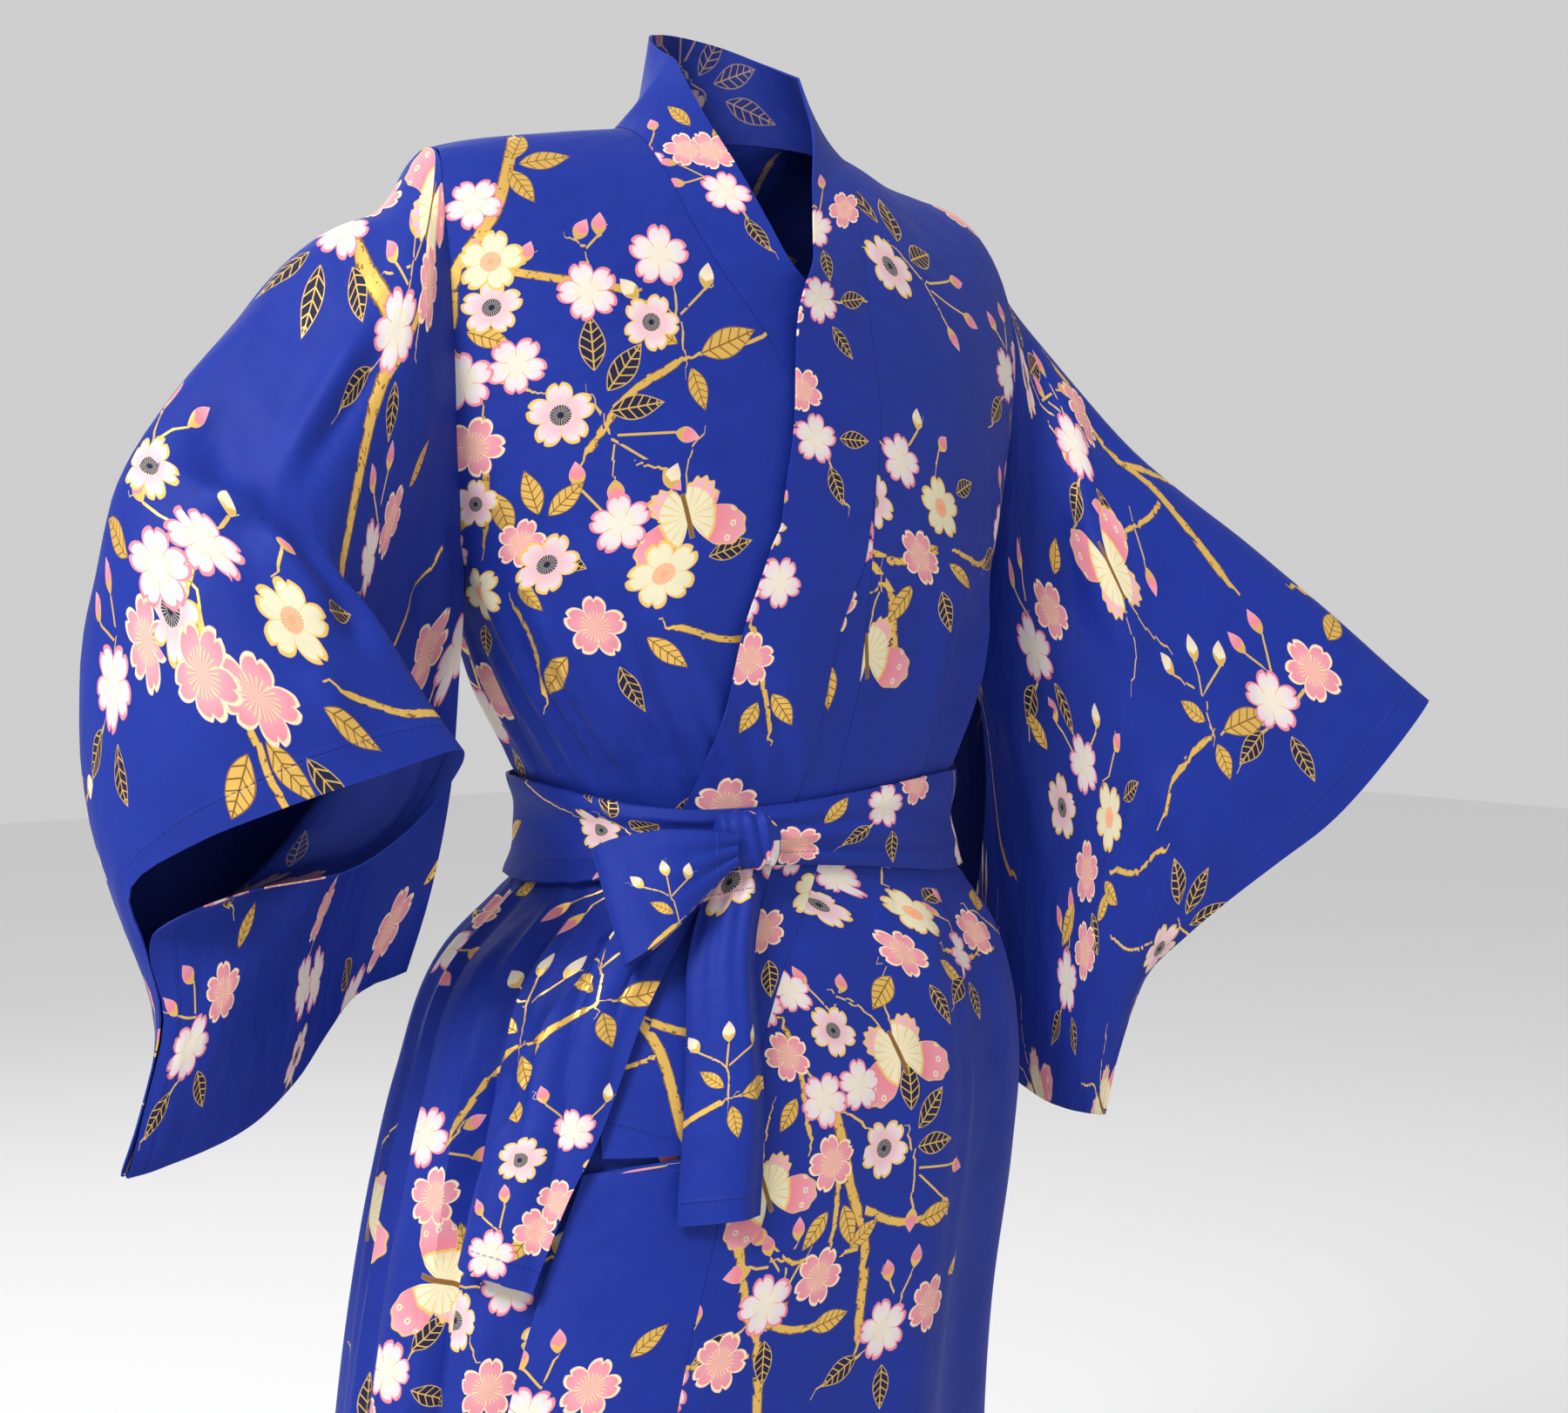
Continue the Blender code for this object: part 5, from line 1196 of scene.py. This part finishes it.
LEFT_SLEEVE = (
    ((0.236, -0.036, -0.122), (0.252, -0.008, -0.130), (0.264, 0.030, -0.210), (0.264, 0.040, -0.340),
     (0.250, 0.035, -0.490), (0.232, -0.002, -0.615), (0.222, -0.028, -0.500), (0.216, -0.050, -0.360),
     (0.223, -0.062, -0.220)),
    ((0.293, -0.081, -0.206), (0.309, -0.058, -0.212), (0.322, -0.016, -0.285), (0.316, 0.004, -0.405),
     (0.284, 0.005, -0.535), (0.246, -0.030, -0.642), (0.238, -0.058, -0.540), (0.256, -0.092, -0.405),
     (0.262, -0.106, -0.290)),
    ((0.351, -0.126, -0.266), (0.367, -0.104, -0.270), (0.368, -0.052, -0.350), (0.346, -0.028, -0.450),
     (0.300, -0.026, -0.560), (0.256, -0.048, -0.651), (0.254, -0.080, -0.560), (0.280, -0.112, -0.440),
     (0.305, -0.135, -0.345)),
    ((0.397, -0.162, -0.314), (0.410, -0.133, -0.325), (0.400, -0.084, -0.400), (0.362, -0.052, -0.480),
     (0.304, -0.052, -0.567), (0.265, -0.060, -0.654), (0.268, -0.090, -0.568), (0.300, -0.126, -0.466),
     (0.340, -0.158, -0.390)),
    ((0.431, -0.189, -0.353), (0.443, -0.156, -0.370), (0.422, -0.107, -0.440), (0.368, -0.071, -0.503),
     (0.299, -0.073, -0.570), (0.272, -0.067, -0.655), (0.279, -0.093, -0.571), (0.317, -0.132, -0.490),
     (0.368, -0.172, -0.426)),
    ((0.452, -0.205, -0.376), (0.463, -0.170, -0.398), (0.433, -0.122, -0.468), (0.363, -0.084, -0.519),
     (0.290, -0.089, -0.572), (0.276, -0.072, -0.655), (0.288, -0.091, -0.572), (0.331, -0.136, -0.508),
     (0.390, -0.179, -0.452)),
)
# Where the free body edge of each sleeve hangs below the armhole: front and back layer, then the low
# corner.
RIGHT_FREE = ((-0.206, -0.014, -0.350), (-0.212, -0.008, -0.440), (-0.216, 0.030, -0.525),
              (-0.212, 0.042, -0.440), (-0.206, 0.028, -0.350))
LEFT_FREE = ((0.205, -0.018, -0.360), (0.214, -0.018, -0.460), (0.224, 0.018, -0.565),
             (0.220, 0.040, -0.460), (0.208, 0.028, -0.360))


def finer(points, times):
    """The same ring-shaped surface with more rows and columns."""
    rows, columns = points.shape[:2]
    points = spline(np.arange(rows), points, np.linspace(0, rows - 1, (rows - 1) * times + 1))
    around = np.concatenate([points[:, -3:], points, points[:, :4]], axis=1).swapaxes(0, 1)
    places = np.linspace(0, columns, columns * times + 1)[:-1]
    return spline(np.arange(-3, columns + 4), around, places).swapaxes(0, 1)


# The creases of each sleeve. Those in the photo have both ends as places in it, in pixels from its left
# and its top, then half the width and how far each stands out (or in, below 0), in metres.
SEEN_CREASES = dict(
    right=dict(
        from_x=(232, 290, 320, 431, 440, 238, 508, 485, 373, 170),
        from_y=(575, 578, 590, 351, 380, 450, 600, 640, 763, 535),
        to_x=(305, 400, 430, 305, 325, 275, 528, 505, 397, 240),
        to_y=(580, 725, 740, 570, 565, 560, 725, 760, 870, 550),
        wide=(0.010, 0.011, 0.009, 0.010, 0.009, 0.012, 0.009, 0.009, 0.008, 0.009),
        out=(0.0070, 0.0080, -0.0060, 0.0055, -0.0050, -0.0045, 0.0050, -0.0045, 0.0040, 0.0040),
    ),
    left=dict(
        from_x=(1218, 1206, 1235, 1263, 1309, 1430, 1160, 1252),
        from_y=(429, 578, 578, 854, 900, 756, 796, 452),
        to_x=(1252, 1235, 1309, 1361, 1418, 1521, 1200, 1309),
        to_y=(624, 739, 796, 1014, 1009, 900, 997, 544),
        wide=(0.010, 0.012, 0.012, 0.012, 0.012, 0.014, 0.010, 0.010),
        out=(0.0055, -0.0060, 0.0065, -0.0045, 0.0050, -0.0045, 0.0050, -0.0035),
    ),
)
# Those that the photo can't show, with both ends as points in metres.
FAR_CREASES = dict(
    right=(
        ((-0.22, 0.01, -0.42), (-0.33, 0.00, -0.48), 0.012, 0.0050),
        ((-0.23, 0.01, -0.47), (-0.35, 0.00, -0.55), 0.012, -0.0040),
        ((-0.28, 0.06, -0.15), (-0.39, 0.03, -0.33), 0.014, 0.0060),
        ((-0.27, 0.06, -0.24), (-0.34, 0.04, -0.45), 0.012, -0.0050),
    ),
    left=(
        ((0.27, 0.02, -0.16), (0.37, -0.06, -0.36), 0.014, 0.0060),
        ((0.26, 0.03, -0.30), (0.30, -0.03, -0.56), 0.013, -0.0050),
    ),
)


def in_photo(points, x, y):
    """The sleeve's point that the camera sees nearest to a place in the photo."""
    spots = points.reshape(-1, 3)
    seen_x, seen_y, depth = seen(spots)
    away = np.hypot(seen_x - x, seen_y - y)
    return spots[np.argmin(np.where(away < away.min() + 8, depth, FAR_OFF))]


def creased(points, normals, side):
    """The surface moved out along each crease, and held at the armhole, the wrist and the far layer."""
    total = np.zeros(points.shape[:2])
    creases = list(FAR_CREASES[side])
    for from_x, from_y, to_x, to_y, wide, out in zip(*SEEN_CREASES[side].values()):
        creases.append((in_photo(points, from_x, from_y), in_photo(points, to_x, to_y), wide, out))
    for start, end, wide, out in creases:
        start, end = np.array(start), np.array(end)
        way = end - start
        run = np.sum((points - start) * way, axis=-1) / np.sum(way * way)
        away = np.linalg.norm(points - start - np.clip(run, 0, 1)[..., None] * way, axis=-1)
        middle = np.argmin(np.where(np.abs(run - 0.5) < 0.2, away, FAR_OFF))
        near = normals[np.unravel_index(middle, away.shape)]
        same = smooth(0.0, 0.5, np.sum(normals * near, axis=-1))
        taper = smooth(-0.08, 0.35, run) * (1 - smooth(0.65, 1.08, run))
        total += CREASE_DEPTH * out * np.exp(-(away / wide) ** 2) * taper * same
    rows = np.arange(len(points))
    total *= (smooth(0, 7, rows) * (1 - 0.6 * smooth(len(points) - 9, len(points) - 1, rows)))[:, None]
    return points + normals * total[..., None]


def part_layers(points, fold, sewn):
    """Keeps the bag's two layers apart, and brings them together along the sewn part of the wrist edge."""
    across = sum(points[:, fold - k] - points[:, fold + k] for k in (2, 3, 4))
    across[-1] = across[-2]
    across = unit(across)
    for k in range(1, fold - 3):
        a, b = points[:, fold - k].copy(), points[:, fold + k].copy()
        apart = np.sum((a - b) * across, axis=-1, keepdims=True)
        least = np.full_like(apart, FOLD_OPEN * (0.7 if k == 1 else 1.0))
        more = np.maximum(least - apart, 0.0) / 2
        if k == 1:
            more = (least - apart) / 2
        points[:, fold - k] = a + across * more
        points[:, fold + k] = b - across * more
        if k <= sewn:
            middle = (a[-1] + b[-1]) / 2
            half = across[-1] * (0.0009 if k > 1 else 0.0021)
            points[-1, fold - k] = middle + half
            points[-1, fold + k] = middle - half
    return points


def sleeve(left):
    """A flat bag of cloth: rings from the armhole and the free body edge to the cuff."""
    sign = 1 if left else -1
    table, free = (LEFT_SLEEVE, LEFT_FREE) if left else (RIGHT_SLEEVE, RIGHT_FREE)
    levels = np.array(ARM_LEVELS)
    arm = column(ARMHOLE, "left" if left else "right", levels, "level")
    front_angle = sign * (arm + SEAM_TURN)
    back_angle = sign * (180 - arm - SEAM_TURN)
    beside = np.array((sign * SLEEVE_BESIDE, 0, 0))
    out = layer_out(front_angle, left)
    front = form(front_angle, levels, out) + beside
    front_face = face_out(front_angle, levels, out)
    back = form(back_angle, levels) + beside
    back_face = face_out(back_angle, levels)
    front_kept, back_kept = front.copy(), back.copy()
    front_free, low, back_free = np.array(free[:2]), np.array(free[2]), np.array(free[3:])
    under = sign * np.array((0.004, 0, 0))
    front[0] += under + np.array((0, -0.003, -0.001))
    back[0] += under + np.array((0, 0.003, -0.001))
    share = np.array((0.25, 0.50, 0.75, 0.972, 1.0))
    back_fall = spline((0, 0.25, 0.6, 1.0), np.array([back[0], back_free[1], back_free[0], low]), share)
    front_fall = spline((0, 0.25, 0.6, 1.0), np.array([front[0], front_free[0], front_free[1], low]), share)
    first = np.concatenate([back[::-1], back_fall, front_fall[-2::-1], front[:-1]])
    faces = np.concatenate([back_face[::-1], np.zeros((9, 3)), front_face[:-1]])
    lengths = np.linalg.norm(np.roll(first, -1, axis=0) - first, axis=1)
    half = 12
    places = np.concatenate([[0.0], np.cumsum(lengths[:half]) / np.sum(lengths[:half]),
                             1 + np.cumsum(lengths[half:-1]) / np.sum(lengths[half:])])
    rings = [first]
    for row in table:
        around = np.array(row)
        around = np.concatenate([around[-2:], around, around[:3]])
        spots = np.array([LINE_PLACES[-2] - 2, LINE_PLACES[-1] - 2, *LINE_PLACES, 2.0, 2 + LINE_PLACES[1],
                          2 + LINE_PLACES[2]])
        rings.append(spline(spots, around, places))
    along = np.array((0, 0.3, 0.6, 1, 1.5, 2, 2.5, 3, 3.5, 4, 4.5, 5, 5.5, 6.0))
    points = spline(np.arange(len(rings)), np.array(rings), along)
    sewn_from = SEWN_FROM["left" if left else "right"]
    points = part_layers(points, half, int(np.sum(places[:half] >= sewn_from)))
    seam = unit(np.roll(points[0], -1, axis=0) - np.roll(points[0], 1, axis=0))
    run = points[1] - points[0]
    run -= seam * np.sum(run * seam, axis=-1, keepdims=True)
    points[0] += unit(run) * SLEEVE_START
    points = finer(points, 4)
    steps = np.linspace(0, len(levels) - 1, 4 * len(levels) - 3)
    fine = spline(np.arange(len(levels)), levels, steps)
    arm = column(ARMHOLE, "left" if left else "right", fine, "level")
    angle = sign * (arm + SEAM_TURN)
    front_off = form(angle, fine, layer_out(angle, left)) + beside
    back_off = form(sign * (180 - arm - SEAM_TURN), fine) + beside
    front_off -= spline(np.arange(len(levels)), front_kept, steps)
    back_off -= spline(np.arange(len(levels)), back_kept, steps)
    off = np.zeros_like(points[0])
    off[:len(fine)] = back_off[::-1]
    off[-len(fine) + 1:] = front_off[:-1]
    points[:9] += off * (1 - smooth(0, 8, np.arange(9)))[:, None, None]
    normals = grid_normals(points, True)
    if np.sum(normals[0, 4:24:4] * faces[1:6]) < 0:
        normals = -normals
    points = creased(points, normals, "left" if left else "right")
    normals = grid_normals(points, True) * np.sign(np.sum(normals * grid_normals(points, True)))
    name = "sleeve_left" if left else "sleeve_right"
    lay = lay_flat(points, ring=True, fold=48)
    return shell(name + "_cloth", name, points, normals, CLOTH, lay, ring=True)


for left in (True, False):
    bag = sleeve(left)
    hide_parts("sleeve_left" if left else "sleeve_right")

# The sash: one narrow strip of the same cloth, folded double, wound once round the waist and tied over
# the robe's right front.
SASH = 0.0022             # the sash is cloth folded double
SASH_OFF = 0.0034         # the middle of the sash's thickness off the robe's surface
SASH_WIDE = 0.064         # its width at the side and back
SASH_KNOT_WIDE = 0.036    # its width where it is gathered into the knot
KNOT_ANGLE = -29.0        # the knot's place round the waist
SWELL = 0.0016            # how far the band swells and creases
KNOT_OFF = 0.0150         # the knot's middle off the sash's


def sash_round():
    """The band round the waist, drawn narrow and creased towards the knot."""
    turn = np.linspace(0.0, 360.0, 241)[:-1]
    angle = turn + KNOT_ANGLE
    away = np.minimum(turn, 360.0 - turn)
    wide = SASH_KNOT_WIDE + (SASH_WIDE - SASH_KNOT_WIDE) * smooth(4.0, 70.0, away)
    near = 1 - smooth(10.0, 75.0, away)
    rows, faces = [], []
    for part in np.linspace(1.0, -1.0, 19):
        swell = SWELL * (1 - part**4) * (1 + 0.6 * np.sin(5.2 * part + np.radians(turn * 3)))
        wave = 1 + np.cos(9.0 * part + 0.9 * np.sin(np.radians(turn * 2)))
        crease = SWELL * near * wave * (1 - part**6)
        height = SASH_HEIGHT + part * wide / 2 + 0.0015 * np.sin(np.radians(turn * 3))
        face = face_out(angle, height - UNDERARM, LAYER)
        off = SASH_OFF + swell + crease
        rows.append(form(angle, height - UNDERARM, LAYER) + face * off[:, None])
        faces.append(face)
    points = np.array(rows)
    lay = lay_flat(points, ring=True)
    return shell("sash_round_cloth", "sash", points, np.array(faces), SASH, lay, ring=True)


def knot():
    """The sash's end wrapped once over the crossing and drawn tight, with creases round the wrap."""
    face = face_out(KNOT_ANGLE, SASH_HEIGHT - UNDERARM, LAYER)
    spot = form(KNOT_ANGLE, SASH_HEIGHT - UNDERARM, LAYER)
    centre = spot + face * (SASH_OFF + KNOT_OFF)
    side = np.cross((0.0, 0.0, 1.0), face)
    side /= np.linalg.norm(side)
    up = np.cross(face, side)
    across = np.linspace(-1.0, 1.0, 41)[:, None]
    turn = np.linspace(0.0, math.tau, 97)[:-1][None]
    plump = (1 - 0.62 * across**4) * (1 + 0.06 * np.cos(3 * across * math.pi + np.sin(turn)))
    crease = 1 - 0.07 * np.cos(math.pi * (4.6 * across + 0.7 * np.sin(turn + 1.0))) * (1 - across**6)
    ahead = np.sign(np.cos(turn)) * np.abs(np.cos(turn)) ** 0.8 * 0.0092 * plump * crease
    lift = np.sign(np.sin(turn)) * np.abs(np.sin(turn)) ** 0.8 * 0.0158 * plump * crease
    lean = 0.10 * lift
    points = (centre + side * (0.0195 * across - lean)[..., None] + face * ahead[..., None]
              + up * lift[..., None])
    normals = outward(grid_normals(points, True), points - centre)
    lay = lay_flat(points, ring=True)
    return shell("belt_knot_cloth", "belt_knot", points, normals, 0.0016, lay, ring=True)


wound = sash_round()
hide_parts("belt_round")
knotted = knot()
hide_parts("belt_knot")

# The loop of the bow: the sash's end laid back on itself and caught in the knot. It hangs forward from
# its own weight, wide at its tip and gathered at the knot.
LOOP_ROOT = (-0.0832, -0.1198, -0.450)    # where the loop leaves the knot
LOOP_TIP = (-0.153, -0.090, -0.480)       # its far end
# Its middle line from the knot out and back, the half width along it, and how far it stands forward.
LOOP = dict(
    run=(0.0, 0.15, 0.35, 0.60, 0.85, 0.97, 1.0, 0.96, 0.82, 0.60, 0.35, 0.12),
    half=(0.009, 0.014, 0.021, 0.029, 0.034, 0.035, 0.035, 0.035, 0.033, 0.028, 0.021, 0.013),
    ahead=(0.004, 0.006, 0.009, 0.0105, 0.0085, 0.005, 0.0, -0.0045, -0.0065, -0.006, -0.004, -0.0025),
)
LOOP_LEAN = (0.02, -0.42, -0.90)      # direction of the loop's width at its tip


def curves_of(table, stations):
    """The table's columns as smooth curves, at stations from 0 at its first row to 1 at its last."""
    return {key: spline(np.linspace(0, 1, len(row)), row, stations) for key, row in table.items()}


def bow_loop():
    """The loop's strip of cloth, out from the knot and back."""
    stations = np.linspace(0, 1, 121)
    data = curves_of(LOOP, stations)
    root, tip = np.array(LOOP_ROOT), np.array(LOOP_TIP)
    lean = np.array(LOOP_LEAN)
    lean = lean / np.linalg.norm(lean)
    ahead = np.cross(tip - root, lean)
    ahead /= np.linalg.norm(ahead)
    if ahead[1] > 0:
        ahead = -ahead
    up = np.array((0.0, 0.0, -1.0))
    widths = unit(up + (lean - up) * smooth(0.0, 0.8, data["run"])[:, None])
    across = np.linspace(-1.0, 1.0, 25)
    middle = root + (tip - root) * data["run"][:, None] + ahead * data["ahead"][:, None]
    points = middle[:, None] + widths[:, None] * (data["half"][:, None] * across)[..., None]
    drawn = 0.0011 * (1 - smooth(0.15, 0.8, data["run"]))[:, None] * np.cos(9 * across) * (1 - across**6)
    straight = np.abs(np.sign(0.5 - stations)[:, None] * (1 - smooth(0.85, 1.0, data["run"]))[:, None])
    points = points + ahead * (drawn * straight)[..., None]
    normals = grid_normals(points)
    if np.sum(normals[:40] * ahead) < 0:
        normals = -normals
    return shell("belt_loop_cloth", "belt_loop", points, normals, SASH, lay_flat(points))


bow = bow_loop()
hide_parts("belt_loop")

# The two tails: the sash's ends, one hanging down the front and one swung to the side of the skirt. Both
# lie on the skirt below the knot, still creased from it.
TAIL_CREASE = 0.0012      # how far those creases stand out
# From the knot down: the height and the angle round the skirt of the middle line, the
# width, how far the edges stand off the skirt and how far the middle bulges.
LONG_TAIL = dict(
    height=(-0.4668, -0.480, -0.510, -0.540, -0.570, -0.600, -0.630, -0.657),
    angle=(-31.0, -30.0, -28.0, -26.0, -25.0, -24.5, -24.0, -23.5),
    width=(0.022, 0.028, 0.032, 0.034, 0.037, 0.040, 0.042, 0.043),
    off=(0.0125, 0.0125, 0.0105, 0.008, 0.006, 0.006, 0.006, 0.006),
    bulge=(0.005, 0.008, 0.011, 0.012, 0.012, 0.011, 0.009, 0.008),
)
SIDE_TAIL = dict(
    height=(-0.465, -0.488, -0.512, -0.534, -0.560, -0.590, -0.620, -0.652, -0.685),
    angle=(-40.0, -43.5, -46.0, -48.5, -51.0, -54.0, -57.0, -59.5, -62.0),
    width=(0.022, 0.036, 0.048, 0.055, 0.058, 0.060, 0.061, 0.061, 0.061),
    off=(0.008, 0.007, 0.006, 0.006, 0.006, 0.006, 0.007, 0.008, 0.009),
    bulge=(0.004, 0.005, 0.004, 0.003, 0.003, 0.003, 0.003, 0.002, 0.002),
)


def tail(name, table, crest):
    """A tail of the sash, laid along the skirt."""
    stations = np.linspace(0, 1, 71)
    data = curves_of(table, stations)
    centre = form(data["angle"], data["height"] - UNDERARM, LAYER)
    radius = np.hypot(centre[:, 0], centre[:, 1])
    arc = np.radians(data["angle"]) * radius.mean()
    run = unit(np.stack([np.gradient(arc), np.gradient(data["height"])], -1))
    across = np.linspace(-1.0, 1.0, 29)
    swell = np.interp(across, (-1.0, crest, 1.0), (0.0, 1.0, 0.0))
    swell = swell * swell * (3 - 2 * swell)
    reach = data["width"][:, None] / 2 * across
    angle = data["angle"][:, None] - np.degrees(reach * run[:, 1:] / radius[:, None])
    height = data["height"][:, None] + reach * run[:, :1]
    base = form(angle, height - UNDERARM, LAYER)
    face = face_out(angle, height - UNDERARM, LAYER)
    off = data["off"][:, None] + data["bulge"][:, None] * swell
    drawn = (1 - smooth(0.0, 0.75, stations))[:, None] * (1 - across**4)
    off = off + TAIL_CREASE * drawn * np.cos(11 * across + 1.4 * stations[:, None])
    points = base + face * off[..., None]
    normals = outward(grid_normals(points), face)
    return shell(name + "_cloth", name, points, normals, SASH, lay_flat(points))


for name, table, crest, length in (("belt_tail_long", LONG_TAIL, 0.45, 0.20),
                                   ("belt_tail_side", SIDE_TAIL, -0.2, 0.24)):
    end = tail(name, table, crest)
    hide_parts(name)
